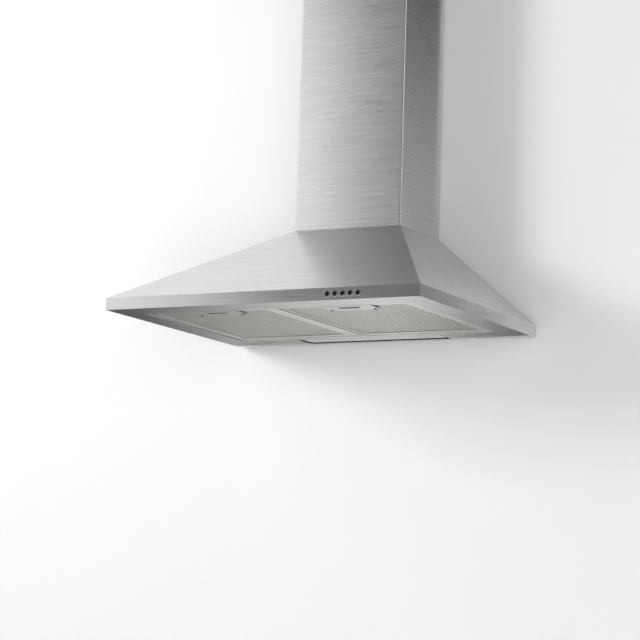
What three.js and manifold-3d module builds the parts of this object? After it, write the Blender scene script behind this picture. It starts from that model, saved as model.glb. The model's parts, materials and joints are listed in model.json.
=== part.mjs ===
// A wall-mounted chimney range hood: a folded steel canopy with a telescoping chimney, two
// grease filters with finger latches, a lamp behind a hinged cover, five push buttons and a
// double-inlet centrifugal blower with a non-return damper.
//
// Millimetres, +Z up. The hood hangs on a wall in the plane y = 0 and faces -Y. Heights are
// written from the rim's bottom edge, and the whole group is lowered by hangHeight at the end,
// so that the origin is on the back of the rear panel, at the height of its hanging holes.
import * as THREE from "three";
import { ConvexGeometry } from "three/addons/geometries/ConvexGeometry.js";
import { mergeVertices } from "three/addons/utils/BufferGeometryUtils.js";
import Module from "manifold-3d";

const wasm = await Module();
wasm.setup();

// ---- Canopy ----
const hoodWidth = 600;
const hoodDepth = 500;
const rimHeight = 21;
const canopyHeight = 185;
const sheet = 1;
const canopyCornerRadius = 2.5;
const hangHeight = 120;
const hangHoleSpacing = 280;
const hangHoleRadius = 4.5;
const hangSlotWidth = 5;
const hangSlotHeight = 9;
const sideStrip = 45;
const frontStrip = 65;
const stripLipHeight = 8;
const mitreSlit = 0.5;
const mitreSlitStart = 0.1; // the share of the mitre that is left whole at the corner
const canopyLip = 2.5; // the canopy's top edge stands this far outside the chimney

// ---- Chimney ----
const chimneyWidth = 211;
const chimneyDepth = 170;
const lowerChimneyLength = 466;
const upperChimneyLength = 420;
const chimneyRise = 100; // the upper cover's top above the lower cover's at rest
const chimneyNestGap = 0.8;
const chimneyFlange = 13;
const sheetFold = 2.5;
const ventCount = 6;
const ventPitch = 9;
const ventHeight = 4.5;
const ventLength = 70;
const ventTopMargin = 62;
const bracketHeight = 30;
const bracketTopMargin = 8;
const bracketEarLength = 32;
const bracketJoggle = 9;
const bracketScrewSpacing = 120;
const bracketHoleRadius = 3;

// ---- Plate that carries the chimney and the blower ----
const topPlateThickness = 1.2;
const topPlateDrop = 1.8; // the plate's top under the canopy's top edge
const topPlateEdgeGap = 1.2;
const topPlateFrontLand = 10;

// ---- Light panel and lamp ----
const lightPanelDepth = 88;
const lightPanelFrontLip = 8.9;
const lightPanelRearLip = 12;
const lampCoverLength = 284;
const lampCoverDepth = 50;
const lampCoverCorner = 8;
const lampCoverHeight = 6;
const lampCoverWall = 1.6;
const lampCoverGap = 2;
const lampFromWall = 45;
const lampHookWidth = 20;
const lampHookSpacing = 180;
const lampHookReach = 4;
const lampHookThickness = 1.4;
const lampHousingLength = 302;
const lampHousingDepth = 66;
const lampHousingHeight = 49;
const lampHousingCorner = 6;
const lampHousingSlots = 7;
const lampHousingSlotPitch = 34;
const lampHousingSlotWidth = 4;
const lampHousingSlotLength = 34;
const lampAxisHeight = 27;
const socketRadius = 13;
const socketLength = 26;
const socketFlangeRadius = 15.5;
const socketFlangeThickness = 4;
const socketMouthTaper = 1;
const bulbCapRadius = 7;
const bulbCapLength = 13;
const bulbRadius = 17;
const bulbLength = 78;
const bulbNeckGap = 2; // between the socket's mouth and the start of the glass
const bulbFullness = 0.62; // a lower power brings the widest place nearer to the cap

// ---- Grease filters ----
const filterGap = 1; // round each filter in the opening
const filterHeight = 11;
const filterSheet = 0.8;
const filterBottom = 1.5;
const filterSideBorder = 18;
const filterFrontBorder = 14;
const filterRearBorder = 18;
const filterTopBorder = 9;
const netThickness = 0.8;
const netStrand = 3;
const netColumns = 6;
const netHalfRows = 16;
const coreThickness = 0.6;
const coreWaves = 20;
const filterHookWidth = 16;
const filterHookSpacing = 150;
const filterHookReach = 5;
const filterHookThickness = 1.2;

// ---- Filter latches ----
const latchPlateWidth = 97;
const latchPlateDepth = 47;
const latchPlateThickness = 1.2;
const latchPlateCorner = 3;
const latchPlateSetback = 3; // from the filter's front edge
const pocketWidth = 40;
const pocketDepth = 15;
const pocketHeight = 8.3;
const pocketWall = 1.5;
const pocketSetback = 16;
const latchTabThickness = 3;
const latchTabClearance = 0.4;
const latchBoltWidth = 12;
const latchBoltHeight = 3;
const latchBoltRise = 3.8; // the bolt's underside above the plate
const latchNoseGap = 0.4;
const latchNoseSlope = 1.5;

// ---- Push buttons ----
const buttonCount = 5;
const buttonPitch = 14.2;
const buttonRowCentre = 158;
const buttonRadius = 3.9;
const buttonProud = 2.6;
const buttonDome = 0.7;
const buttonTravel = 3;
const buttonStemRadius = 2.4;
const bezelRadius = 5.35;
const bezelNeckRadius = 4.9;
const bezelBore = 4.15;
const bezelProud = 1.1;
const bezelHoleGap = 0.3;
const bezelStripHeight = 13;
const bezelStripThickness = 1.4;
const bezelStripMargin = 8;
const switchBlockDepth = 24;
const switchBlockMargin = 11;
const switchBlockGap = 6; // behind the bezel strip
const switchBlockHeight = 17;
const switchBoreDepth = 12;
const stemClearance = 0.15;
const switchTagWidth = 6.3;
const switchTagThickness = 0.8;
const switchTagLength = 7;

// ---- Blower ----
const rotorFromWall = 97;
const rotorHeight = 141;
const impellerRadius = 60;
const impellerEye = 46;
const impellerHalfWidth = 47;
const impellerRingWidth = 14.4;
const impellerRingThickness = 2;
const impellerRingProud = 0.4; // the end rings stand this far outside the blades
const impellerDiscThickness = 1.5; // of each half's own disc
const bladeCount = 28;
const bladeThickness = 1.2;
const bladeTurn = 0.16; // how far a blade leans forward round the axis, in radians
const bladeBulge = 0.07;
const hubRadius = 11;
const hubLength = 18;
const shaftRadius = 4;
const shaftClearance = 0.08;
const shaftPastHub = 9;
const nutAcross = 13;
const nutThickness = 5;
const scrollStart = 66;
const scrollEnd = 84;
const outletThroat = 66;
const outletRise = 84; // the outlet's top above the rotor's axis
const housingWall = 1.6;
const housingHalfWidth = 54;
const inletRadius = 44;
const inletBell = 5;
const inletLipDrop = 0.3;
const housingFootReach = 30;
const housingFootThickness = 4;
const housingFootWidth = 18;
const housingFootPlace = 0.8; // of the scroll's first radius, before and behind the shaft
const housingOpeningGap = 4;
const motorRadius = 35;
const motorStackLength = 26;
const motorCapRadius = 29;
const motorNoseRadius = 19;
const motorLength = 46;
const motorBoreDepth = 32;
const motorFins = 8;
const motorFinHeight = 2.5;
const motorFinWidth = 3;
const bracketPlateThickness = 2.5;
const bracketRingWidth = 4.5;
const bracketHubRadius = 22;
const bracketArms = 3;
const bracketFirstArm = Math.PI / 6;
const bracketArmWidth = 9;
const bracketRibHeight = 4;
const bracketRibWidth = 3;

// ---- Outlet adapter and damper ----
const ductRadius = 60;
const ductFromWall = 84;
const adapterRise = 37;
const collarLength = 62;
const adapterWall = 1.6;
const shoulderWidth = 6;
const shoulderThickness = 2.5;
const beadRadius = 1.2;
const beadFromTop = 10;
const damperLedge = 4;
const damperLedgeThickness = 1.5;
const damperLedgeRise = 2;
const damperPinRadius = 1.5;
const damperPinClearance = 0.08;
const damperKnuckleRadius = 2.8;
const damperThickness = 1.2;
const damperEdgeGap = 1.6;
const damperKnuckles = 5; // on both flaps together
const damperKnuckleLength = 19;
const damperKnuckleGap = 1;

// ---- Electrical pieces on the rear panel ----
const capacitorRadius = 14;
const capacitorLength = 52;
const capacitorAcross = 118;
const capacitorHeight = 62;
const capacitorStudRadius = 4;
const capacitorStudLength = 8;
const capacitorEdge = 1;
const clipHeight = 12;
const clipThickness = 1.2;
const clipFoot = 10;
const clipTuck = 0.05; // how far the clip closes behind the can, in half turns
const clipSteps = 12;
const terminalBoxWidth = 70;
const terminalBoxHeight = 52;
const terminalBoxDepth = 40;
const terminalBoxWall = 2;
const terminalBoxAcross = -130;
const terminalBoxBottom = 60;
const terminalWays = 5;
const terminalPitch = 10;
const terminalBlockHeight = 16;
const terminalBlockDepth = 15;
const terminalBoreRadius = 2;
const terminalEndMargin = 4;
const terminalBlockRise = 17; // above the box's bottom
const terminalScrewDepth = 5;
const coverThickness = 2;
const coverLip = 4;
const glandRadius = 8;
const glandFlangeRadius = 11.5;
const glandFlangeThickness = 3;
const glandDomeHeight = 12;
const glandBore = 4;
const glandClearance = 0.3;
const glandNutMargin = 2;
const glandNutTaper = 0.5;
const glandLip = 2;

// ---- Clearances and facets ----
const fitGap = 0.3; // between pieces that rest on each other
const cutOver = 1; // how far a cutter runs past the face that it cuts
const loftOver = 0.1; // the same for the loft inside the outlet adapter
const roundSides = 24;
const scrollSteps = 24;
const smallSides = 16;
const tinySides = 12;
const boreSides = 8;
const foldSteps = 3;
const arcSteps = 2; // an arc of an extruded outline gets twice as many sides
const bulbSteps = 7;

// ---------------------------------------------------------------------------------------------
// Solids

function solidOf(geometry) {
  const bare = geometry.index ? geometry.toNonIndexed() : geometry.clone();
  bare.deleteAttribute("normal");
  bare.deleteAttribute("uv");
  const merged = mergeVertices(bare, 1e-4);
  const corners = merged.index.array;
  const faces = [];
  for (let i = 0; i < corners.length; i += 3) {
    const [a, b, c] = [corners[i], corners[i + 1], corners[i + 2]];
    if (a !== b && b !== c && c !== a) faces.push(a, b, c);
  }
  const made = build(merged.attributes.position.array, faces);
  if (made.volume() > 0) return made;
  for (let i = 0; i < faces.length; i += 3) [faces[i], faces[i + 1]] = [faces[i + 1], faces[i]];
  return build(merged.attributes.position.array, faces);
}

function build(positions, faces) {
  const vertProperties = new Float32Array(positions);
  const triVerts = new Uint32Array(faces);
  return new wasm.Manifold(new wasm.Mesh({ numProp: 3, vertProperties, triVerts }));
}

function geometryOf(solid) {
  const mesh = solid.getMesh();
  const positions = new Float32Array(mesh.numVert * 3);
  for (let i = 0; i < mesh.numVert; i++) {
    const from = i * mesh.numProp;
    positions.set(mesh.vertProperties.subarray(from, from + 3), i * 3);
  }
  const geometry = new THREE.BufferGeometry();
  geometry.setAttribute("position", new THREE.BufferAttribute(positions, 3));
  geometry.setIndex(new THREE.BufferAttribute(mesh.triVerts, 1));
  const flat = geometry.toNonIndexed();
  flat.computeVertexNormals();
  return flat;
}

const join = (solids) => solids.reduce((whole, next) => whole.add(next));
const cut = (solid, cutters) => cutters.reduce((whole, next) => whole.subtract(next), solid);

function box(x0, x1, y0, y1, z0, z1) {
  const geometry = new THREE.BoxGeometry(x1 - x0, y1 - y0, z1 - z0);
  geometry.translate((x0 + x1) / 2, (y0 + y1) / 2, (z0 + z1) / 2);
  return solidOf(geometry);
}

function hull(points) {
  return solidOf(new ConvexGeometry(points));
}

// A flat shape drawn in the plane across an axis, extruded along that axis from one place to
// another. Across X it is drawn in (y, z), across Y in (x, z) and across Z in (x, y).
function extrude(axis, shape, from, to, curveSegments = arcSteps) {
  const settings = { depth: to - from, bevelEnabled: false, curveSegments };
  const geometry = new THREE.ExtrudeGeometry(shape, settings);
  const bases = {
    x: [new THREE.Vector3(0, 1, 0), new THREE.Vector3(0, 0, 1), new THREE.Vector3(1, 0, 0)],
    y: [new THREE.Vector3(1, 0, 0), new THREE.Vector3(0, 0, 1), new THREE.Vector3(0, -1, 0)],
    z: [new THREE.Vector3(1, 0, 0), new THREE.Vector3(0, 1, 0), new THREE.Vector3(0, 0, 1)],
  };
  geometry.applyMatrix4(new THREE.Matrix4().makeBasis(...bases[axis]));
  const shifts = { x: [from, 0, 0], y: [0, to, 0], z: [0, 0, from] };
  geometry.translate(...shifts[axis]);
  return solidOf(geometry);
}

// A revolved profile of (radius, along) pairs about an axis through a centre point.
function revolve(axis, profile, sides, centre = [0, 0, 0]) {
  const points = profile.map(([radius, along]) => new THREE.Vector2(radius, along));
  const geometry = new THREE.LatheGeometry(points, sides);
  if (axis === "x") geometry.rotateZ(-Math.PI / 2);
  if (axis === "z") geometry.rotateX(Math.PI / 2);
  geometry.translate(...centre);
  return solidOf(geometry);
}

function rod(axis, radius, from, to, sides, centre = [0, 0, 0]) {
  return revolve(axis, [[0, from], [radius, from], [radius, to], [0, to]], sides, centre);
}

function tube(axis, inner, outer, from, to, sides, centre = [0, 0, 0]) {
  const profile = [[inner, from], [outer, from], [outer, to], [inner, to], [inner, from]];
  return revolve(axis, profile, sides, centre);
}

function outline(pairs) {
  return new THREE.Shape(pairs.map(([a, b]) => new THREE.Vector2(a, b)));
}

function roundedRectangle(a0, a1, b0, b1, radius) {
  const shape = new THREE.Shape();
  shape.absarc(a1 - radius, b0 + radius, radius, -Math.PI / 2, 0);
  shape.absarc(a1 - radius, b1 - radius, radius, 0, Math.PI / 2);
  shape.absarc(a0 + radius, b1 - radius, radius, Math.PI / 2, Math.PI);
  shape.absarc(a0 + radius, b0 + radius, radius, Math.PI, Math.PI * 1.5);
  return shape;
}

// The cut edge of a bent sheet: its middle line runs through the corners, rounded at each fold.
function bentSheet(corners, thickness, fold) {
  const stops = corners.map(([a, b]) => new THREE.Vector2(a, b));
  const line = [stops[0]];
  for (let i = 1; i < stops.length - 1; i++) {
    if (fold === 0) {
      line.push(stops[i]);
      continue;
    }
    const back = stops[i - 1].clone().sub(stops[i]).setLength(fold);
    const ahead = stops[i + 1].clone().sub(stops[i]).setLength(fold);
    const start = stops[i].clone().add(back);
    const end = stops[i].clone().add(ahead);
    line.push(...new THREE.QuadraticBezierCurve(start, stops[i], end).getPoints(foldSteps));
  }
  line.push(stops.at(-1));
  const left = [];
  const right = [];
  line.forEach((point, i) => {
    const before = line[Math.max(i - 1, 0)];
    const after = line[Math.min(i + 1, line.length - 1)];
    const incoming = (i === 0 ? after.clone().sub(point) : point.clone().sub(before)).normalize();
    const outgoing = (i === line.length - 1 ? incoming.clone() : after.clone().sub(point)).normalize();
    const middle = incoming.clone().add(outgoing).normalize();
    const reach = thickness / 2 / middle.dot(incoming);
    const across = new THREE.Vector2(-middle.y, middle.x).multiplyScalar(reach);
    left.push(point.clone().add(across));
    right.unshift(point.clone().sub(across));
  });
  return new THREE.Shape([...left, ...right]);
}

// ---------------------------------------------------------------------------------------------
// Places that several pieces share

const topHalfWidth = chimneyWidth / 2 + canopyLip;
const topDepth = chimneyDepth + canopyLip;
const slopeRise = canopyHeight - rimHeight;
const sideRun = hoodWidth / 2 - topHalfWidth;
const frontRun = hoodDepth - topDepth;
const sideWallAcross = (sheet * Math.hypot(sideRun, slopeRise)) / slopeRise;
const frontWallAcross = (sheet * Math.hypot(frontRun, slopeRise)) / slopeRise;
const openingHalfWidth = hoodWidth / 2 - sideStrip;
const openingFront = -(hoodDepth - frontStrip);
const panelFace = -(sheet + fitGap); // what stands on the rear panel starts here

const topPlateTop = canopyHeight - topPlateDrop;
const topPlateBottom = topPlateTop - topPlateThickness;
const chimneyBottom = topPlateTop + fitGap;
const lowerChimneyTop = chimneyBottom + lowerChimneyLength;
const upperChimneyTop = lowerChimneyTop + chimneyRise;
const upperInset = sheet + chimneyNestGap;

const lampCentre = -lampFromWall;
const lampCoverRear = lampCentre + lampCoverDepth / 2;
const lampCoverFront = lampCentre - lampCoverDepth / 2;

const filterFront = openingFront + filterGap;
const filterRear = -(lightPanelDepth + filterGap);
// Each filter has a whole gap on its outer side and half of one in the middle.
const filterWidth = openingHalfWidth - filterGap * 1.5;
const filterTop = filterBottom + filterHeight;
const filterCentre = (filterWidth + filterGap) / 2;
const netBottom = filterBottom + filterSheet + fitGap;
const coreBottom = netBottom + netThickness + fitGap;
const coreTop = filterTop - filterSheet - fitGap;

const latchPlateTop = filterBottom - fitGap;
const latchPlateBottom = latchPlateTop - latchPlateThickness;
const pocketFront = filterFront + pocketSetback;
const pocketRear = pocketFront + pocketDepth;
const pocketTop = latchPlateTop + pocketHeight;
const boltBottom = latchPlateTop + latchBoltRise;
const boltTop = boltBottom + latchBoltHeight;

const rimFront = -hoodDepth;
const buttonHeight = rimHeight / 2;
const bezelStripFront = rimFront + sheet + fitGap;
const switchBlockFront = bezelStripFront + bezelStripThickness + switchBlockGap;

const rotorY = -rotorFromWall;
const motorRear = housingHalfWidth;
const motorFront = motorRear - motorLength;
const outletRear = rotorY + scrollEnd;
const outletFront = outletRear - outletThroat;
const outletTop = rotorHeight + outletRise;
const adapterBottom = outletTop + fitGap;
const collarBottom = adapterBottom + adapterRise;
const collarTop = collarBottom + collarLength;
const ductY = -ductFromWall;
const ductInner = ductRadius - adapterWall;
const damperLedgeTop = collarBottom + damperLedgeRise + damperLedgeThickness;
const damperBottom = damperLedgeTop + fitGap;
const damperAxisHeight = damperBottom + damperKnuckleRadius;
const damperRadius = ductInner - damperEdgeGap;

// ---------------------------------------------------------------------------------------------
// Canopy

// Half width and depth of the sloping canopy at a height, outside it or inside its walls.
function canopyAt(height, inside) {
  const share = (height - rimHeight) / slopeRise;
  const halfWidth = hoodWidth / 2 - sideRun * share - (inside ? sideWallAcross : 0);
  const depth = hoodDepth - frontRun * share - (inside ? frontWallAcross : 0);
  return { halfWidth, depth };
}

// The corners of one level of the canopy, with its front corners folded round.
function levelCorners({ halfWidth, depth }, height, rear) {
  const radius = canopyCornerRadius;
  const points = [new THREE.Vector3(-halfWidth, rear, height), new THREE.Vector3(halfWidth, rear, height)];
  for (const side of [-1, 1]) {
    for (let i = 0; i <= foldSteps; i++) {
      const turn = (i / foldSteps) * (Math.PI / 2);
      const x = side * (halfWidth - radius + radius * Math.cos(turn));
      const y = -(depth - radius + radius * Math.sin(turn));
      points.push(new THREE.Vector3(x, y, height));
    }
  }
  return points;
}

function makeCanopyShell() {
  const rim = { halfWidth: hoodWidth / 2, depth: hoodDepth };
  const rimLevels = [...levelCorners(rim, 0, 0), ...levelCorners(rim, rimHeight, 0)];
  const top = canopyAt(canopyHeight, false);
  const slopeLevels = [...levelCorners(rim, rimHeight, 0), ...levelCorners(top, canopyHeight, 0)];
  const outside = join([hull(rimLevels), hull(slopeLevels)]);
  const over = canopyHeight + cutOver;
  const insideLevels = [
    ...levelCorners(canopyAt(sheet, true), sheet, cutOver),
    ...levelCorners(canopyAt(over, true), over, cutOver),
  ];
  const innerHalf = hoodWidth / 2 - sheet;
  const innerFront = -(hoodDepth - sheet);
  const room = box(-innerHalf, innerHalf, innerFront, cutOver, sheet, over);
  const inside = hull(insideLevels).intersect(room);
  const half = openingHalfWidth;
  const opening = box(-half, half, openingFront, cutOver, -cutOver, sheet + cutOver);
  const cutters = [inside, opening];
  for (const side of [-1, 1]) {
    const corner = new THREE.Vector2((side * hoodWidth) / 2, -hoodDepth);
    const inner = new THREE.Vector2(side * half, openingFront);
    const along = inner.clone().sub(corner);
    const start = corner.clone().addScaledVector(along, mitreSlitStart);
    const slitLength = along.length() * (1 - mitreSlitStart) + cutOver;
    const slit = new THREE.BoxGeometry(slitLength, mitreSlit, sheet * 2);
    slit.rotateZ(Math.atan2(along.y, along.x));
    const middle = start.add(inner.clone().addScaledVector(along.normalize(), cutOver)).multiplyScalar(0.5);
    slit.translate(middle.x, middle.y, sheet / 2);
    cutters.push(solidOf(slit));
  }
  for (const x of buttonPlaces()) {
    const hole = bezelNeckRadius + bezelHoleGap;
    const from = rimFront - cutOver;
    const to = rimFront + sheet + cutOver;
    cutters.push(rod("y", hole, from, to, tinySides, [x, 0, buttonHeight]));
  }
  const shell = cut(outside, cutters);
  const lips = [
    box(-half - sheet, half + sheet, openingFront - sheet, openingFront, sheet / 2, stripLipHeight),
    box(-half - sheet, -half, openingFront - sheet, filterRear, sheet / 2, stripLipHeight),
    box(half, half + sheet, openingFront - sheet, filterRear, sheet / 2, stripLipHeight),
  ];
  return join([shell, ...lips]);
}

function makeRearPanel() {
  const bottom = sheet + fitGap;
  const top = topPlateBottom - fitGap;
  const edge = (height) => Math.min(hoodWidth / 2 - sheet, canopyAt(height, true).halfWidth) - fitGap;
  const knee = rimHeight - ((sideWallAcross - sheet) * slopeRise) / sideRun;
  const panel = outline([
    [-edge(bottom), bottom],
    [edge(bottom), bottom],
    [edge(knee), knee],
    [edge(top), top],
    [-edge(top), top],
    [-edge(knee), knee],
  ]);
  const cutters = [];
  for (const side of [-1, 1]) {
    const x = (side * hangHoleSpacing) / 2;
    const slotTop = hangHeight + hangHoleRadius + hangSlotHeight;
    cutters.push(rod("y", hangHoleRadius, -sheet - cutOver, cutOver, smallSides, [x, 0, hangHeight]));
    const half = hangSlotWidth / 2;
    cutters.push(box(x - half, x + half, -sheet - cutOver, cutOver, hangHeight, slotTop));
  }
  return cut(extrude("y", panel, -sheet, 0), cutters);
}

function makeTopPlate() {
  const { halfWidth, depth } = canopyAt(topPlateTop, true);
  const half = halfWidth - topPlateEdgeGap;
  const front = -(depth - topPlateEdgeGap);
  const plate = box(-half, half, front, panelFace, topPlateBottom, topPlateTop);
  const holeHalf = housingHalfWidth + housingOpeningGap;
  const holeRear = outletRear + housingWall + housingOpeningGap / 2;
  const holeFront = -(chimneyDepth - topPlateFrontLand);
  const holeLow = topPlateBottom - cutOver;
  const hole = roundedRectangle(-holeHalf, holeHalf, holeFront, holeRear, sheetFold);
  return cut(plate, [extrude("z", hole, holeLow, topPlateTop + cutOver)]);
}

// ---------------------------------------------------------------------------------------------
// Chimney covers and their wall bracket

function chimneySection(inset) {
  const middle = inset + sheet / 2;
  const half = chimneyWidth / 2 - middle;
  const front = -(chimneyDepth - middle);
  const rear = -middle;
  const corners = [
    [-half + chimneyFlange, rear],
    [-half, rear],
    [-half, front],
    [half, front],
    [half, rear],
    [half - chimneyFlange, rear],
  ];
  return bentSheet(corners, sheet, sheetFold);
}

function makeLowerChimney() {
  return extrude("z", chimneySection(0), chimneyBottom, lowerChimneyTop);
}

function makeUpperChimney() {
  const bottom = upperChimneyTop - upperChimneyLength;
  const cover = extrude("z", chimneySection(upperInset), bottom, upperChimneyTop);
  const middle = -chimneyDepth / 2;
  const half = chimneyWidth / 2;
  const vents = [];
  for (let i = 0; i < ventCount; i++) {
    const low = upperChimneyTop - ventTopMargin - i * ventPitch;
    const from = middle - ventLength / 2;
    const slot = roundedRectangle(from, from + ventLength, low, low + ventHeight, ventHeight / 2);
    vents.push(extrude("x", slot, -half - cutOver, half + cutOver, 1));
  }
  return cut(cover, vents);
}

function makeChimneyBracket() {
  const middle = sheet / 2;
  const earX = chimneyWidth / 2 - upperInset - sheet - fitGap - middle;
  const backX = earX - chimneyFlange;
  const corners = [
    [-earX, -middle - bracketJoggle - bracketEarLength],
    [-earX, -middle - bracketJoggle],
    [-backX, -middle - bracketJoggle],
    [-backX, -middle],
    [backX, -middle],
    [backX, -middle - bracketJoggle],
    [earX, -middle - bracketJoggle],
    [earX, -middle - bracketJoggle - bracketEarLength],
  ];
  const top = upperChimneyTop - bracketTopMargin;
  const strip = extrude("z", bentSheet(corners, sheet, sheetFold), top - bracketHeight, top);
  const height = top - bracketHeight / 2;
  const holes = [-1, 1].map((side) => {
    const centre = [(side * bracketScrewSpacing) / 2, 0, height];
    return rod("y", bracketHoleRadius, -sheet - cutOver, cutOver, smallSides, centre);
  });
  return cut(strip, holes);
}

// ---------------------------------------------------------------------------------------------
// Light panel, lamp housing, sockets, bulbs and cover

function makeLightPanel() {
  const middle = sheet / 2;
  const front = -(lightPanelDepth - middle);
  const rear = panelFace - middle;
  const corners = [[front, lightPanelFrontLip], [front, middle], [rear, middle], [rear, lightPanelRearLip]];
  const half = openingHalfWidth - fitGap;
  const panel = extrude("x", bentSheet(corners, sheet, sheetFold / 2), -half, half);
  const gap = lampCoverGap;
  const holeHalf = lampCoverLength / 2 + gap;
  const from = lampCoverFront - gap;
  const to = lampCoverRear + gap;
  const hole = roundedRectangle(-holeHalf, holeHalf, from, to, lampCoverCorner + gap);
  return cut(panel, [extrude("z", hole, -cutOver, sheet + cutOver)]);
}

function makeLampHousing() {
  const bottom = sheet + fitGap;
  const top = bottom + lampHousingHeight;
  const half = lampHousingLength / 2;
  const reach = lampHousingDepth / 2;
  const wall = sheet;
  const tray = (inset, from, to) => {
    const radius = lampHousingCorner - inset;
    const x = half - inset;
    const y = reach - inset;
    return extrude("z", roundedRectangle(-x, x, lampCentre - y, lampCentre + y, radius), from, to);
  };
  const slots = [];
  const slotHalf = lampHousingSlotWidth / 2;
  const slotReach = lampHousingSlotLength / 2;
  for (let i = 0; i < lampHousingSlots; i++) {
    const x = (i - (lampHousingSlots - 1) / 2) * lampHousingSlotPitch;
    const [y0, y1] = [lampCentre - slotReach, lampCentre + slotReach];
    slots.push(box(x - slotHalf, x + slotHalf, y0, y1, top - wall - cutOver, top + cutOver));
  }
  return cut(tray(0, bottom, top), [tray(wall, bottom - cutOver, top - wall), ...slots]);
}

function lampEnd() {
  return lampHousingLength / 2 - sheet - fitGap;
}

// Both the socket and the bulb are drawn for the +X end, and turned round for the other.
function makeLampSocket() {
  const end = lampEnd();
  const mouth = end - socketLength;
  const flange = end - socketFlangeThickness;
  const bore = bulbCapRadius + fitGap;
  const profile = [
    [0, end],
    [socketFlangeRadius, end],
    [socketFlangeRadius, flange],
    [socketRadius, flange],
    [socketRadius - socketMouthTaper, mouth],
    [bore, mouth],
    [bore, mouth + bulbCapLength + fitGap],
    [0, mouth + bulbCapLength + fitGap],
  ];
  return revolve("x", profile, roundSides, [0, lampCentre, lampAxisHeight]);
}

function makeLampBulb() {
  const mouth = lampEnd() - socketLength;
  const neck = mouth - bulbNeckGap;
  const glass = [[bulbCapRadius, neck]];
  for (let i = 1; i <= bulbSteps; i++) {
    const share = i / bulbSteps;
    const swell = Math.sin(Math.PI * Math.pow(share, bulbFullness));
    const radius = bulbCapRadius * (1 - share ** 3) + (bulbRadius - bulbCapRadius) * swell;
    glass.push([i === bulbSteps ? 0 : radius, neck - bulbLength * share]);
  }
  const profile = [[0, mouth + bulbCapLength], [bulbCapRadius, mouth + bulbCapLength], ...glass];
  return revolve("x", profile, smallSides, [0, lampCentre, lampAxisHeight]);
}

function makeLampCover() {
  const bottom = fitGap;
  const top = bottom + lampCoverHeight;
  const half = lampCoverLength / 2;
  const tray = (inset, from, to) => {
    const x = half - inset;
    const [y0, y1] = [lampCoverFront + inset, lampCoverRear - inset];
    return extrude("z", roundedRectangle(-x, x, y0, y1, lampCoverCorner - inset), from, to);
  };
  const hooks = [-1, 1].map((side) => {
    const x = (side * lampHookSpacing) / 2;
    const low = sheet + fitGap;
    const [x0, x1] = [x - lampHookWidth / 2, x + lampHookWidth / 2];
    const y0 = lampCoverRear - lampCoverWall;
    return box(x0, x1, y0, lampCoverRear + lampHookReach, low, low + lampHookThickness);
  });
  const cover = cut(tray(0, bottom, top), [tray(lampCoverWall, bottom + lampCoverWall, top + cutOver)]);
  return join([cover, ...hooks]);
}

// ---------------------------------------------------------------------------------------------
// Grease filter, drawn about x = 0 and placed twice

function makeFilterFrame() {
  const half = filterWidth / 2;
  const wall = filterSheet;
  const body = box(-half, half, filterFront, filterRear, filterBottom, filterTop);
  const [y0, y1] = [filterFront + wall, filterRear - wall];
  const channel = box(-half + wall, half - wall, y0, y1, filterBottom + wall, filterTop - wall);
  const windowHalf = half - filterSideBorder;
  const front = filterFront + filterFrontBorder;
  const rear = filterRear - filterRearBorder;
  const [z0, z1] = [filterBottom - cutOver, filterBottom + wall + cutOver];
  const window = box(-windowHalf, windowHalf, front, rear, z0, z1);
  const edge = filterTopBorder;
  const above = filterTop + cutOver;
  const low = filterTop - wall - cutOver;
  const back = box(-half + edge, half - edge, filterFront + edge, filterRear - edge, low, above);
  const slotHalf = latchBoltWidth / 2 + latchTabClearance;
  const slotLow = boltBottom - latchTabClearance;
  const slotHigh = boltTop + latchTabClearance;
  const slotRear = filterFront + wall + cutOver;
  const slot = box(-slotHalf, slotHalf, filterFront - cutOver, slotRear, slotLow, slotHigh);
  const hookLow = lightPanelFrontLip + fitGap;
  const hooks = [-1, 1].map((side) => {
    const x = (side * filterHookSpacing) / 2;
    const [x0, x1] = [x - filterHookWidth / 2, x + filterHookWidth / 2];
    const hookRear = filterRear + filterGap + filterHookReach;
    return box(x0, x1, filterRear - wall, hookRear, hookLow, hookLow + filterHookThickness);
  });
  return join([cut(body, [channel, window, back, slot]), ...hooks]);
}

// What the net and the core leave free for the latch pocket.
function pocketRoom() {
  const half = pocketWidth / 2 + pocketWall + fitGap;
  const reach = pocketWall + fitGap;
  return box(-half, half, filterFront, pocketRear + reach, filterBottom, filterTop);
}

function makeFilterNet() {
  const half = filterWidth / 2 - filterSheet - fitGap;
  const front = filterFront + filterSheet + fitGap;
  const rear = filterRear - filterSheet - fitGap;
  const top = netBottom + netThickness;
  const plate = box(-half, half, front, rear, netBottom, top);
  const windowHalf = filterWidth / 2 - filterSideBorder;
  const windowFront = filterFront + filterFrontBorder;
  const windowRear = filterRear - filterRearBorder;
  const cellWidth = (2 * windowHalf) / netColumns;
  const rowStep = (windowRear - windowFront) / (netHalfRows + 1);
  const slant = Math.hypot(cellWidth / 2, rowStep);
  const a = cellWidth / 2 - ((netStrand / 2) * slant) / rowStep;
  const b = rowStep - ((netStrand / 2) * slant) / (cellWidth / 2);
  const room = pocketRoom();
  const { max } = room.boundingBox();
  const cutters = [room];
  for (let row = 0; row < netHalfRows; row++) {
    const y = windowFront + rowStep * (row + 1);
    const shifted = row % 2;
    for (let column = 0; column < netColumns - shifted; column++) {
      const x = -windowHalf + cellWidth * (column + 0.5 + shifted / 2);
      if (Math.abs(x) - a < max[0] + netStrand && y - b < max[1] + netStrand) continue;
      const diamond = outline([[x - a, y], [x, y - b], [x + a, y], [x, y + b]]);
      cutters.push(extrude("z", diamond, netBottom - cutOver, top + cutOver));
    }
  }
  return cut(plate, cutters);
}

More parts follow.
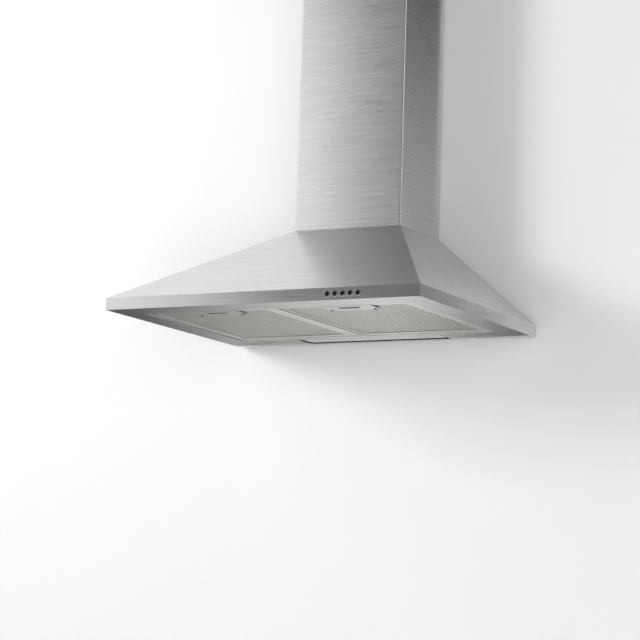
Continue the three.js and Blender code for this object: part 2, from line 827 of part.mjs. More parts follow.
function makeFilterCore() {
  const half = filterWidth / 2 - filterSheet - fitGap;
  const front = filterFront + filterSheet + fitGap;
  const rear = filterRear - filterSheet - fitGap;
  const step = (rear - front) / (coreWaves * 2);
  const slant = Math.hypot(step, coreTop - coreBottom - coreThickness);
  const rise = (coreThickness / 2) * (slant / step);
  const corners = [];
  for (let i = 0; i <= coreWaves * 2; i++) {
    corners.push([front + step * i, i % 2 ? coreTop - rise : coreBottom + rise]);
  }
  const wave = extrude("x", bentSheet(corners, coreThickness, 0), -half, half);
  const limit = box(-half, half, front, rear, coreBottom, coreTop);
  return cut(wave.intersect(limit), [pocketRoom()]);
}

function makeLatchPlate() {
  const half = latchPlateWidth / 2;
  const front = filterFront + latchPlateSetback;
  const rim = roundedRectangle(-half, half, front, front + latchPlateDepth, latchPlateCorner);
  const plate = extrude("z", rim, latchPlateBottom, latchPlateTop);
  const pocketHalf = pocketWidth / 2;
  const wall = pocketWall;
  const [y0, y1] = [pocketFront - wall, pocketRear + wall];
  const shell = box(-pocketHalf - wall, pocketHalf + wall, y0, y1, latchPlateBottom, pocketTop + wall);
  const below = latchPlateBottom - cutOver;
  const hollow = box(-pocketHalf, pocketHalf, pocketFront, pocketRear, below, pocketTop);
  const slotHalf = latchBoltWidth / 2 + latchTabClearance;
  const slotLow = boltBottom - latchTabClearance;
  const slotHigh = boltTop + latchTabClearance;
  const slot = box(-slotHalf, slotHalf, y0 - cutOver, pocketFront + cutOver, slotLow, slotHigh);
  return cut(join([plate, shell]), [hollow, slot]);
}

function makeLatch() {
  const half = pocketWidth / 2 - latchTabClearance;
  const tabFront = pocketFront + fitGap;
  const tabRear = tabFront + latchTabThickness;
  const tabLow = latchPlateTop + latchTabClearance;
  const tab = box(-half, half, tabFront, tabRear, tabLow, pocketTop - latchTabClearance);
  const nose = openingFront + latchNoseGap;
  const bolt = outline([
    [tabFront + fitGap, boltBottom],
    [nose + latchNoseSlope, boltBottom],
    [nose, boltBottom + latchNoseSlope],
    [nose, boltTop],
    [tabFront + fitGap, boltTop],
  ]);
  return join([tab, extrude("x", bolt, -latchBoltWidth / 2, latchBoltWidth / 2)]);
}

// ---------------------------------------------------------------------------------------------
// Push buttons

function buttonPlaces() {
  const places = [];
  for (let i = 0; i < buttonCount; i++) {
    places.push(buttonRowCentre + (i - (buttonCount - 1) / 2) * buttonPitch);
  }
  return places;
}

function makeButton(x) {
  const face = rimFront - buttonProud;
  const capRear = bezelStripFront + bezelStripThickness;
  const stemRear = switchBlockFront + switchBoreDepth - buttonTravel - fitGap;
  const crown = [];
  for (let i = 0; i <= foldSteps; i++) {
    const turn = (i / foldSteps) * (Math.PI / 2);
    crown.push([buttonRadius * Math.sin(turn), face + buttonDome * (1 - Math.cos(turn))]);
  }
  const profile = [
    ...crown,
    [buttonRadius, capRear],
    [buttonStemRadius, capRear],
    [buttonStemRadius, stemRear],
    [0, stemRear],
  ];
  return revolve("y", profile, tinySides, [x, 0, buttonHeight]);
}

function makeBezelStrip() {
  const places = buttonPlaces();
  const low = buttonHeight - bezelStripHeight / 2;
  const rear = bezelStripFront + bezelStripThickness;
  const from = places[0] - bezelStripMargin;
  const to = places.at(-1) + bezelStripMargin;
  const strip = roundedRectangle(from, to, low, low + bezelStripHeight, sheetFold);
  const pieces = [extrude("y", strip, bezelStripFront, rear)];
  const ringRear = rimFront - fitGap;
  const ringFront = rimFront - bezelProud;
  for (const x of places) {
    const profile = [
      [0, ringFront],
      [bezelRadius - bezelProud / 2, ringFront],
      [bezelRadius, ringFront + bezelProud / 2],
      [bezelRadius, ringRear],
      [bezelNeckRadius, ringRear],
      [bezelNeckRadius, rear],
      [0, rear],
    ];
    pieces.push(revolve("y", profile, tinySides, [x, 0, buttonHeight]));
  }
  const bores = places.map((x) => {
    return rod("y", bezelBore, ringFront - cutOver, rear + cutOver, tinySides, [x, 0, buttonHeight]);
  });
  return cut(join(pieces), bores);
}

function makeSwitchBlock() {
  const places = buttonPlaces();
  const low = sheet + fitGap;
  const rear = switchBlockFront + switchBlockDepth;
  const from = places[0] - switchBlockMargin;
  const to = places.at(-1) + switchBlockMargin;
  const body = box(from, to, switchBlockFront, rear, low, low + switchBlockHeight);
  const bore = buttonStemRadius + stemClearance;
  const bores = places.map((x) => {
    const end = switchBlockFront + switchBoreDepth;
    return rod("y", bore, switchBlockFront - cutOver, end, tinySides, [x, 0, buttonHeight]);
  });
  const tags = places.map((x) => {
    const half = switchTagThickness / 2;
    const [z0, z1] = [buttonHeight - switchTagWidth / 2, buttonHeight + switchTagWidth / 2];
    return box(x - half, x + half, rear - cutOver, rear + switchTagLength, z0, z1);
  });
  return join([cut(body, bores), ...tags]);
}

// ---------------------------------------------------------------------------------------------
// Blower: scroll housing in two halves, impeller, shaft, motor and its bracket

const rotorCentre = [0, rotorY, rotorHeight];

// The air path seen along the shaft: a scroll that opens from the tongue round to the outlet.
function airPath(offset, from, to) {
  const tongueY = outletFront - rotorY;
  const tongueTurn = Math.acos(tongueY / scrollStart);
  const points = [];
  for (let i = 0; i <= scrollSteps; i++) {
    const share = i / scrollSteps;
    const turn = tongueTurn + (2 * Math.PI - tongueTurn) * share;
    const radius = scrollStart + (scrollEnd - scrollStart) * share + offset;
    points.push([rotorY + radius * Math.cos(turn), rotorHeight + radius * Math.sin(turn)]);
  }
  const scroll = extrude("x", outline(points), from, to);
  const high = outletTop + (offset > 0 ? 0 : cutOver);
  const outlet = box(from, to, outletFront - offset, outletRear + offset, rotorHeight, high);
  return join([scroll, outlet]);
}

// Drawn for the +X side. The bell mouth leads the air into the impeller's eye.
function makeBlowerHousing() {
  const half = housingHalfWidth;
  const inner = half - housingWall;
  const shell = airPath(housingWall, fitGap / 2, half);
  const hollow = airPath(0, -cutOver, inner);
  const inlet = rod("x", inletRadius + inletBell, inner - cutOver, half + cutOver, roundSides, rotorCentre);
  const bell = [];
  for (let i = 0; i <= foldSteps; i++) {
    const turn = (i / foldSteps) * (Math.PI / 2);
    bell.push([inletRadius + inletBell * (1 - Math.sin(turn)), half - inletBell * (1 - Math.cos(turn))]);
  }
  const back = bell.map(([radius, along]) => [radius + housingWall, along - inletLipDrop]).reverse();
  const mouth = revolve("x", [...bell, ...back, bell[0]], roundSides, rotorCentre);
  const feet = [];
  const low = topPlateTop + fitGap;
  for (const side of [-1, 1]) {
    const middle = rotorY + side * (scrollStart * housingFootPlace - housingFootWidth / 2);
    const [y0, y1] = [middle - housingFootWidth / 2, middle + housingFootWidth / 2];
    feet.push(box(inner, half + housingFootReach, y0, y1, low, low + housingFootThickness));
  }
  return join([cut(shell, [hollow, inlet]), mouth, ...feet]);
}

function bladeOutline(turn) {
  const inner = impellerEye;
  const outer = impellerRadius;
  const steps = 3;
  const front = [];
  const back = [];
  for (let i = 0; i <= steps; i++) {
    const share = i / steps;
    const radius = inner + (outer - inner) * share;
    const lean = turn + bladeTurn * share * share + bladeBulge * Math.sin(Math.PI * share);
    const half = bladeThickness / 2 / radius;
    front.push([rotorY + radius * Math.cos(lean + half), rotorHeight + radius * Math.sin(lean + half)]);
    back.unshift([rotorY + radius * Math.cos(lean - half), rotorHeight + radius * Math.sin(lean - half)]);
  }
  return outline([...back.reverse(), ...front.reverse()]);
}

// One moulded half, on the +X or the -X side of the joint between the two.
function makeImpellerHalf(side) {
  const between = (from, to) => (side < 0 ? [-to, -from] : [from, to]);
  const [joint, end] = [fitGap / 2, impellerHalfWidth];
  const ring = end - impellerRingThickness;
  const disc = impellerDiscThickness;
  const sides = bladeCount;
  const rim = impellerRadius + impellerRingProud;
  const hub = side < 0 ? hubLength / 2 : motorFront - fitGap; // one end clears the motor's nose
  const pieces = [
    rod("x", impellerRadius, ...between(joint, disc), sides, rotorCentre),
    rod("x", hubRadius, ...between(joint, hub), roundSides, rotorCentre),
    tube("x", impellerRadius - impellerRingWidth, rim, ...between(ring, end), sides, rotorCentre),
  ];
  const [from, to] = between(disc / 2, ring + impellerRingThickness / 2);
  for (let i = 0; i < bladeCount; i++) {
    const turn = (i / bladeCount) * 2 * Math.PI;
    pieces.push(extrude("x", bladeOutline(turn), from, to));
  }
  const bore = rod("x", shaftRadius + fitGap, -end, end, smallSides, rotorCentre);
  return cut(join(pieces), [bore]);
}

function makeMotorShaft() {
  const from = -hubLength / 2 - shaftPastHub;
  const to = motorFront + motorBoreDepth - fitGap;
  return rod("x", shaftRadius, from, to, smallSides, rotorCentre);
}

function makeImpellerNut() {
  const from = -hubLength / 2 - fitGap - nutThickness;
  const to = from + nutThickness;
  const hexagon = rod("x", nutAcross / Math.sqrt(3), from, to, 6, rotorCentre);
  const bore = rod("x", shaftRadius + fitGap, from - cutOver, to + cutOver, smallSides, rotorCentre);
  return cut(hexagon, [bore]);
}

function makeMotor() {
  const slack = (motorLength - motorStackLength) / 2;
  const bore = shaftRadius + shaftClearance;
  const profile = [
    [bore, motorFront],
    [motorNoseRadius, motorFront],
    [motorCapRadius, motorFront + slack / 2],
    [motorCapRadius, motorFront + slack],
    [motorRadius, motorFront + slack],
    [motorRadius, motorRear - slack],
    [motorCapRadius, motorRear - slack],
    [motorCapRadius, motorRear - slack / 2],
    [motorNoseRadius, motorRear],
    [0, motorRear],
    [0, motorFront + motorBoreDepth],
    [bore, motorFront + motorBoreDepth],
    [bore, motorFront],
  ];
  const body = revolve("x", profile, roundSides, rotorCentre);
  const fins = [];
  for (let i = 0; i < motorFins; i++) {
    const [y0, y1] = [motorRadius - cutOver, motorRadius + motorFinHeight];
    const halfFin = motorFinWidth / 2;
    const fin = new THREE.BoxGeometry(motorStackLength, y1 - y0, halfFin * 2);
    fin.translate(0, (y0 + y1) / 2, 0);
    fin.rotateX((i / motorFins) * 2 * Math.PI);
    fin.translate(motorFront + motorLength / 2, rotorY, rotorHeight);
    fins.push(solidOf(fin));
  }
  return join([body, ...fins]);
}

function makeMotorBracket() {
  const from = housingHalfWidth + fitGap;
  const to = from + bracketPlateThickness;
  const ringInner = inletRadius + inletBell;
  const ringOuter = ringInner + bracketRingWidth;
  const pieces = [
    tube("x", ringInner, ringOuter, from, to, roundSides, rotorCentre),
    rod("x", bracketHubRadius, from, to, roundSides, rotorCentre),
  ];
  for (let i = 0; i < bracketArms; i++) {
    const turn = (i / bracketArms) * 2 * Math.PI + bracketFirstArm;
    const reach = ringInner + bracketRingWidth / 2;
    const bar = (width, x0, x1) => {
      const start = bracketHubRadius / 2;
      const geometry = new THREE.BoxGeometry(x1 - x0, reach - start, width);
      geometry.translate((x0 + x1) / 2, (reach + start) / 2, 0);
      geometry.rotateX(turn);
      geometry.translate(0, rotorY, rotorHeight);
      return solidOf(geometry);
    };
    pieces.push(bar(bracketArmWidth, from, to));
    pieces.push(bar(bracketRibWidth, from, to + bracketRibHeight));
  }
  return join(pieces);
}

// ---------------------------------------------------------------------------------------------
// Outlet adapter with the duct collar, and the two-flap non-return damper in it

const ductCentre = [0, ductY, 0];

function makeOutletAdapter() {
  const loft = (inset, extra) => {
    const half = housingHalfWidth - inset;
    const [y0, y1] = [outletFront - housingWall + inset, outletRear + housingWall - inset];
    const points = [];
    for (const x of [-half, half]) {
      for (const y of [y0, y1]) {
        points.push(new THREE.Vector3(x, y, adapterBottom - extra));
      }
    }
    const radius = ductRadius - inset;
    for (let i = 0; i < roundSides; i++) {
      const turn = (i / roundSides) * 2 * Math.PI;
      const x = radius * Math.cos(turn);
      points.push(new THREE.Vector3(x, ductY + radius * Math.sin(turn), collarBottom + extra));
    }
    return hull(points);
  };
  const shoulder = collarBottom + shoulderThickness;
  const beadHeight = collarTop - beadFromTop;
  const collar = revolve(
    "z",
    [
      [ductInner, collarBottom - fitGap],
      [ductRadius, collarBottom - fitGap],
      [ductRadius, collarBottom],
      [ductRadius + shoulderWidth, collarBottom],
      [ductRadius + shoulderWidth, shoulder],
      [ductRadius, shoulder],
      [ductRadius, beadHeight - beadRadius],
      [ductRadius + beadRadius, beadHeight],
      [ductRadius, beadHeight + beadRadius],
      [ductRadius, collarTop],
      [ductInner, collarTop],
      [ductInner, damperLedgeTop],
      [ductInner - damperLedge, damperLedgeTop],
      [ductInner - damperLedge, damperLedgeTop - damperLedgeThickness],
      [ductInner, damperLedgeTop - damperLedgeThickness],
      [ductInner, collarBottom - fitGap],
    ],
    roundSides,
    ductCentre,
  );
  return join([cut(loft(0, 0), [loft(adapterWall, loftOver)]), collar]);
}

function makeDamperPin() {
  const reach = ductInner - damperEdgeGap / 2;
  const centre = [0, ductY, damperAxisHeight];
  return rod("y", damperPinRadius, -reach, reach, smallSides, centre);
}

// Drawn for the +X side; the knuckles of the two flaps alternate along the pin.
function makeDamperFlap(side) {
  const centre = [0, ductY, damperAxisHeight];
  const disc = rod("z", damperRadius, damperBottom, damperBottom + damperThickness, roundSides, ductCentre);
  const inner = damperPinRadius / 2;
  const far = damperRadius + cutOver;
  const half = side > 0 ? [inner, far] : [-far, -inner];
  const [y0, y1] = [ductY - far, ductY + far];
  const low = damperBottom - cutOver;
  const plate = disc.intersect(box(half[0], half[1], y0, y1, low, damperAxisHeight));
  const knuckles = [];
  const gaps = [];
  const step = damperKnuckleLength + damperKnuckleGap;
  const last = (damperKnuckles - 1) / 2;
  for (let place = -last; place <= last; place++) {
    const from = place * step - damperKnuckleLength / 2;
    const to = from + damperKnuckleLength;
    const own = (place + last) % 2 === (side > 0 ? 0 : 1);
    if (own) knuckles.push(rod("y", damperKnuckleRadius, from, to, smallSides, centre));
    const [g0, g1] = [ductY + from - damperKnuckleGap, ductY + to + damperKnuckleGap];
    const notch = damperKnuckleRadius + damperKnuckleGap;
    if (!own) gaps.push(box(-notch, notch, g0, g1, low, damperAxisHeight + notch));
  }
  const bore = rod("y", damperPinRadius + damperPinClearance, -far, far, smallSides, centre);
  return cut(join([cut(plate, gaps), ...knuckles]), [bore]);
}

// ---------------------------------------------------------------------------------------------
// Capacitor, terminal box and cable gland on the rear panel

const capacitorY = panelFace - clipThickness - capacitorRadius - fitGap * 2;

function makeCapacitor() {
  const high = capacitorHeight + capacitorLength;
  const profile = [
    [0, capacitorHeight],
    [capacitorRadius - capacitorEdge, capacitorHeight],
    [capacitorRadius, capacitorHeight + capacitorEdge],
    [capacitorRadius, high - capacitorEdge],
    [capacitorRadius - capacitorEdge, high],
    [capacitorStudRadius, high],
    [capacitorStudRadius, high + capacitorStudLength],
    [0, high + capacitorStudLength],
  ];
  return revolve("z", profile, roundSides, [capacitorAcross, capacitorY, 0]);
}

function makeCapacitorClip() {
  const radius = capacitorRadius + fitGap + clipThickness / 2;
  const foot = panelFace - clipThickness / 2;
  const corners = [[capacitorAcross - radius - clipFoot, foot]];
  corners.push([capacitorAcross - radius, foot]);
  for (let i = 0; i <= clipSteps; i++) {
    const turn = Math.PI * (1 - clipTuck + ((1 + 2 * clipTuck) * i) / clipSteps);
    corners.push([capacitorAcross + radius * Math.cos(turn), capacitorY + radius * Math.sin(turn)]);
  }
  corners.push([capacitorAcross + radius, foot]);
  corners.push([capacitorAcross + radius + clipFoot, foot]);
  const low = capacitorHeight + (capacitorLength - clipHeight) / 2;
  return extrude("z", bentSheet(corners, clipThickness, 0), low, low + clipHeight);
}

const terminalBoxFront = panelFace - terminalBoxDepth;
const terminalBoxTop = terminalBoxBottom + terminalBoxHeight;

function makeTerminalBox() {
  const half = terminalBoxWidth / 2;
  const wall = terminalBoxWall;
  const [x0, x1] = [terminalBoxAcross - half, terminalBoxAcross + half];
  const outer = box(x0, x1, terminalBoxFront, panelFace, terminalBoxBottom, terminalBoxTop);
  const front = terminalBoxFront - cutOver;
  const back = panelFace - wall;
  const hollow = box(x0 + wall, x1 - wall, front, back, terminalBoxBottom + wall, terminalBoxTop - wall);
  const centre = [terminalBoxAcross, (terminalBoxFront + panelFace) / 2, 0];
  const over = terminalBoxTop + cutOver;
  const under = terminalBoxTop - wall - cutOver;
  const hole = rod("z", glandRadius + glandClearance, under, over, smallSides, centre);
  return cut(outer, [hollow, hole]);
}

function makeTerminalBlock() {
  const half = ((terminalWays - 1) * terminalPitch) / 2 + terminalEndMargin;
  const back = panelFace - terminalBoxWall - fitGap;
  const front = back - terminalBlockDepth;
  const low = terminalBoxBottom + terminalBlockRise;
  const high = low + terminalBlockHeight;
  const [x0, x1] = [terminalBoxAcross - half, terminalBoxAcross + half];
  const cutters = [];
  for (let i = 0; i < terminalWays; i++) {
    const x = terminalBoxAcross + (i - (terminalWays - 1) / 2) * terminalPitch;
    const middle = (front + back) / 2;
    cutters.push(rod("z", terminalBoreRadius, low - cutOver, high + cutOver, boreSides, [x, middle, 0]));
    const depth = front + terminalScrewDepth;
    const place = [x, 0, (low + high) / 2];
    cutters.push(rod("y", terminalBoreRadius, front - cutOver, depth, boreSides, place));
  }
  return cut(box(x0, x1, front, back, low, high), cutters);
}

function makeTerminalCover() {
  const half = terminalBoxWidth / 2;
  const rear = terminalBoxFront - fitGap;
  const [x0, x1] = [terminalBoxAcross - half, terminalBoxAcross + half];
  const plate = roundedRectangle(x0, x1, terminalBoxBottom, terminalBoxTop, sheetFold);
  const inset = terminalBoxWall + fitGap;
  const [z0, z1] = [terminalBoxBottom + inset, terminalBoxTop - inset];
  const lip = box(x0 + inset, x1 - inset, rear - fitGap, rear + coverLip, z0, z1);
  const wall = coverThickness;
  const open = rear + coverLip + cutOver;
  const hollow = box(x0 + inset + wall, x1 - inset - wall, rear, open, z0 + wall, z1 - wall);
  return join([extrude("y", plate, rear - wall, rear), cut(lip, [hollow])]);
}

function makeCableGland() {
  const inside = terminalBoxTop - terminalBoxWall - fitGap;
  const outside = terminalBoxTop + fitGap;
  const flange = outside + glandFlangeThickness;
  const dome = flange + glandDomeHeight;
  const profile = [
    [glandBore, inside - glandFlangeThickness],
    [glandFlangeRadius, inside - glandFlangeThickness],
    [glandFlangeRadius, inside],
    [glandRadius, inside],
    [glandRadius, outside],
    [glandFlangeRadius, outside],
    [glandFlangeRadius, flange],
    [glandRadius + glandNutMargin, flange],
    [glandRadius + glandNutMargin - glandNutTaper, dome - glandDomeHeight / 3],
    [glandBore + glandLip, dome],
    [glandBore, dome],
    [glandBore, inside - glandFlangeThickness],
  ];
  return revolve("z", profile, smallSides, [terminalBoxAcross, (terminalBoxFront + panelFace) / 2, 0]);
}

// ---------------------------------------------------------------------------------------------
// Materials and the assembly

function material(color, roughness, metalness) {
  return () => new THREE.MeshStandardMaterial({ color, roughness, metalness });
}

const stainless = material(0xc9cac8, 0.34, 1);
const galvanised = material(0xa9adb0, 0.5, 1);
const filterAluminium = material(0xbfc0b9, 0.45, 1);
const chrome = material(0xdde0e3, 0.12, 1);
const blackPlastic = material(0x17181a, 0.35, 0);
const greyPlastic = material(0x6d7073, 0.5, 0);
const whitePlastic = material(0xe9e9e4, 0.4, 0);
const frosted = material(0xeeefe9, 0.55, 0);
const bulbGlass = material(0xf7f3e6, 0.2, 0);
const copperBrass = material(0xb98a4a, 0.35, 1);
const darkSteel = material(0x5c6065, 0.4, 1);

function piece(name, solid, finish) {
  const mesh = new THREE.Mesh(geometryOf(solid), finish());
  mesh.name = name;
  return mesh;
}

function mirrored(mesh) {
  mesh.scale.x = -1;
  return mesh;
}

const hood = new THREE.Group();
hood.position.z = -hangHeight;

hood.add(
  piece("canopy_shell", makeCanopyShell(), stainless),
  piece("rear_panel", makeRearPanel(), galvanised),
  piece("top_plate", makeTopPlate(), galvanised),
  piece("light_panel", makeLightPanel(), stainless),
  piece("lower_chimney", makeLowerChimney(), stainless),
  piece("upper_chimney", makeUpperChimney(), stainless),
  piece("chimney_bracket", makeChimneyBracket(), galvanised),
);

const lamp = new THREE.Group();
lamp.add(
  piece("lamp_housing", makeLampHousing(), galvanised),
  piece("lamp_cover", makeLampCover(), frosted),
  piece("lamp_socket_right", makeLampSocket(), whitePlastic),
  mirrored(piece("lamp_socket_left", makeLampSocket(), whitePlastic)),
  piece("lamp_bulb_right", makeLampBulb(), bulbGlass),
  mirrored(piece("lamp_bulb_left", makeLampBulb(), bulbGlass)),
);
hood.add(lamp);

for (const [side, place] of [["left", -filterCentre], ["right", filterCentre]]) {
  const filter = new THREE.Group();
  filter.position.x = place;
  filter.add(
    piece("filter_frame_" + side, makeFilterFrame(), filterAluminium),
    piece("filter_net_" + side, makeFilterNet(), filterAluminium),
    piece("filter_core_" + side, makeFilterCore(), filterAluminium),
    piece("latch_plate_" + side, makeLatchPlate(), stainless),
    piece("latch_" + side, makeLatch(), greyPlastic),
  );
  hood.add(filter);
}

const controls = new THREE.Group();
controls.add(piece("bezel_strip", makeBezelStrip(), chrome));
controls.add(piece("switch_block", makeSwitchBlock(), blackPlastic));
buttonPlaces().forEach((x, i) => {
  controls.add(piece("button_" + (i + 1), makeButton(x), blackPlastic));
});
hood.add(controls);

const blower = new THREE.Group();
blower.add(
  piece("blower_housing_right", makeBlowerHousing(), greyPlastic),
  mirrored(piece("blower_housing_left", makeBlowerHousing(), greyPlastic)),
  piece("impeller_right", makeImpellerHalf(1), blackPlastic),
  piece("impeller_left", makeImpellerHalf(-1), blackPlastic),
  piece("motor_shaft", makeMotorShaft(), darkSteel),
  piece("impeller_nut", makeImpellerNut(), copperBrass),
  piece("motor", makeMotor(), darkSteel),
  piece("motor_bracket", makeMotorBracket(), galvanised),
  piece("outlet_adapter", makeOutletAdapter(), greyPlastic),
  piece("damper_pin", makeDamperPin(), darkSteel),
  piece("damper_flap_right", makeDamperFlap(1), greyPlastic),
  piece("damper_flap_left", makeDamperFlap(-1), greyPlastic),
);
hood.add(blower);

const electrics = new THREE.Group();
electrics.add(
  piece("capacitor", makeCapacitor(), whitePlastic),
  piece("capacitor_clip", makeCapacitorClip(), galvanised),
  piece("terminal_box", makeTerminalBox(), greyPlastic),
  piece("terminal_block", makeTerminalBlock(), whitePlastic),
  piece("terminal_cover", makeTerminalCover(), greyPlastic),
  piece("cable_gland", makeCableGland(), blackPlastic),
);
hood.add(electrics);

const rangeHood = new THREE.Group();
rangeHood.add(hood);
export default rangeHood;
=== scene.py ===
import json
import math

import bmesh
import bpy
from mathutils import Matrix, Vector
from mathutils.bvhtree import BVHTree

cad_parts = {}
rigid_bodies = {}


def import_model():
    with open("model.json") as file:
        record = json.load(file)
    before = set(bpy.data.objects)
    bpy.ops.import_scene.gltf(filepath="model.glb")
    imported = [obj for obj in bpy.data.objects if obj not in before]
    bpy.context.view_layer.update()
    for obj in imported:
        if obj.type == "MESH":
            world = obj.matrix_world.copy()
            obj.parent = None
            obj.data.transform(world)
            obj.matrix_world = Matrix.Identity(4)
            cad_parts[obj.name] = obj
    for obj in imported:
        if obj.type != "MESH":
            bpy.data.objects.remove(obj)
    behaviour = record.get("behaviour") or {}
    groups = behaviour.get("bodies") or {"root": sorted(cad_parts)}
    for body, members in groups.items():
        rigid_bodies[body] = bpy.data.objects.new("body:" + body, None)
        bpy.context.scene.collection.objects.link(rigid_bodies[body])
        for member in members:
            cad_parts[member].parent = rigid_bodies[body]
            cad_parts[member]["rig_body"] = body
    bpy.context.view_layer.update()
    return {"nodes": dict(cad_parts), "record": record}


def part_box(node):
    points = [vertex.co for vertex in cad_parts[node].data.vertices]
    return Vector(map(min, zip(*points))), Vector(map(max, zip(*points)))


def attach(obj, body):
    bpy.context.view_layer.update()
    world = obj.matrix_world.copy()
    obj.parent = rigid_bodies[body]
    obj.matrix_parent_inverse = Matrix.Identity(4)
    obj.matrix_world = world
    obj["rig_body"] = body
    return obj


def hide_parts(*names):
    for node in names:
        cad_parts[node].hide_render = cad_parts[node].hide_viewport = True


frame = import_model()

scene = bpy.context.scene
cadNodes = frame["nodes"]
print("frame loaded:", len(cadNodes), "nodes")


cameraView = {
    # fitted to the hood's corners in the photograph: metres, degrees, and millimetres for lens and sensor
    "place": (2.049, -4.306, -0.766),
    "yaw": 26.9,
    "pitch": 8.174,
    "roll": 1.8,
    "lens": 146.1,
    "sensor": 36,
    "nearest": 0.05,
    "farthest": 60,
}


def addCamera(view):
    yaw, pitch, roll = (math.radians(view[key]) for key in ("yaw", "pitch", "roll"))
    ahead = Vector((-math.sin(yaw) * math.cos(pitch), math.cos(yaw) * math.cos(pitch), math.sin(pitch)))
    level = Vector((math.cos(yaw), math.sin(yaw), 0))
    upright = level.cross(ahead)
    right = level * math.cos(roll) + upright * math.sin(roll)
    up = upright * math.cos(roll) - level * math.sin(roll)
    data = bpy.data.cameras.new("photoCamera")
    data.lens = view["lens"]
    data.sensor_width = view["sensor"]
    data.clip_start = view["nearest"]
    data.clip_end = view["farthest"]
    camera = bpy.data.objects.new("photoCamera", data)
    turn = Matrix((right, up, -ahead)).transposed().to_4x4()
    camera.matrix_world = Matrix.Translation(view["place"]) @ turn
    scene.collection.objects.link(camera)
    scene.camera = camera


addCamera(cameraView)
print("camera placed")


def newTree(name):
    material = bpy.data.materials.new(name)
    material.use_nodes = True
    material.node_tree.nodes.clear()
    return material, material.node_tree


def add(tree, kind, links=None, **settings):
    # a node with its settings, and its inputs as numbers or as the sockets that feed them
    made = tree.nodes.new(kind)
    for key, value in settings.items():
        setattr(made, key, value)
    for key, value in (links or {}).items():
        if isinstance(value, bpy.types.NodeSocket):
            tree.links.new(value, made.inputs[key])
        else:
            made.inputs[key].default_value = value
    return made


def coordinates(tree):
    return add(tree, "ShaderNodeTexCoord").outputs["Object"]


def maths(tree, operation, first, second=0.0):
    return add(tree, "ShaderNodeMath", {0: first, 1: second}, operation=operation).outputs[0]


def stretch(tree, vector, scale):
    return add(tree, "ShaderNodeMapping", {"Vector": vector, "Scale": scale}).outputs[0]


def noise(tree, vector, scale, detail=2.0, roughness=0.55):
    links = {"Vector": vector, "Scale": scale, "Detail": detail, "Roughness": roughness}
    return add(tree, "ShaderNodeTexNoise", links).outputs["Fac"]


def ramp(tree, value, low, high, outLow, outHigh):
    # a number from low to high becomes one from outLow to outHigh
    links = {"Value": value, "From Min": low, "From Max": high, "To Min": outLow, "To Max": outHigh}
    return add(tree, "ShaderNodeMapRange", links).outputs[0]


def shades(tree, value, dark, light):
    links = {0: value, 6: (*dark, 1), 7: (*light, 1)}
    return add(tree, "ShaderNodeMix", links, data_type="RGBA").outputs[2]


def tint(tree, value, colour, other):
    # the colour so far, with this much of another over it
    links = {0: value, 6: colour, 7: (*other, 1)}
    return add(tree, "ShaderNodeMix", links, data_type="RGBA").outputs[2]


def edgeMask(tree, radius):
    # 1 along edges within the radius, 0 on flat metal
    rounded = add(tree, "ShaderNodeBevel", {"Radius": radius}, samples=4).outputs[0]
    plain = add(tree, "ShaderNodeNewGeometry").outputs["Normal"]
    links = {0: rounded, 1: plain}
    facing = add(tree, "ShaderNodeVectorMath", links, operation="DOT_PRODUCT").outputs["Value"]
    return ramp(tree, facing, 0.995, 0.9, 0.0, 1.0)


def wornEdges(tree, colour, facts):
    # the colour with its edges rubbed bright, and the mask of those edges
    edge = edgeMask(tree, facts["edgeWidth"])
    share = maths(tree, "MULTIPLY", edge, facts["edgeShare"])
    return tint(tree, share, colour, facts["edge"]), edge


def smoother(tree, rough, edge, share):
    # edges are rubbed smoother than the rest
    return maths(tree, "SUBTRACT", rough, maths(tree, "MULTIPLY", edge, share))


def paintedSeamShade(tree, colour, reach, deepest):
    # painted shade: darkens the colour in seams, gaps and recesses by how closed in they are (ambient
    # occlusion)
    inner = add(tree, "ShaderNodeAmbientOcclusion", {"Distance": reach}, samples=6).outputs["AO"]
    shade = ramp(tree, inner, 0.42, 0.82, deepest, 1.0)
    grey = add(tree, "ShaderNodeCombineColor", {0: shade, 1: shade, 2: shade}).outputs[0]
    links = {0: 1.0, 6: colour, 7: grey}
    return add(tree, "ShaderNodeMix", links, data_type="RGBA", blend_type="MULTIPLY").outputs[2]


def surface(tree, material, colour, roughness, bump, depth, strength, **fixed):
    # the bump's depth is in metres
    relief = {"Height": bump, "Distance": depth, "Strength": strength}
    normal = add(tree, "ShaderNodeBump", relief).outputs[0]
    links = {"Base Color": colour, "Roughness": roughness, "Normal": normal}
    shader = add(tree, "ShaderNodeBsdfPrincipled", links)
    for key, value in fixed.items():
        shader.inputs[key.replace("_", " ")].default_value = value
    add(tree, "ShaderNodeOutputMaterial", {"Surface": shader.outputs[0]})
    return material


brushed = {
    "dark": (0.55, 0.55, 0.555),
    "light": (0.90, 0.90, 0.90),
    "fine": (9, 1150),  # short brush marks: scale along the grain and across it
    "fineShare": 0.4,
    "streaks": (11, 560),  # longer marks
    "streakShare": 0.65,
    "breaks": (42, 260),  # where the longer marks begin and end
    "rough": (0.27, 0.37),
    "handled": (-0.012, 0.016),  # what wiped and handled patches change in the roughness
    "edge": (0.90, 0.90, 0.90),
    "edgeWidth": 0.0011,
    "edgeShare": 0.5,
    "seamShadeReach": 0.0035,
    "seamShade": 0.3,  # how much of its colour a seam keeps under the painted shade
    "mitreX": 0.255,  # where the mitred strips of the underside turn the grain
    "mitreY": 0.435,
}


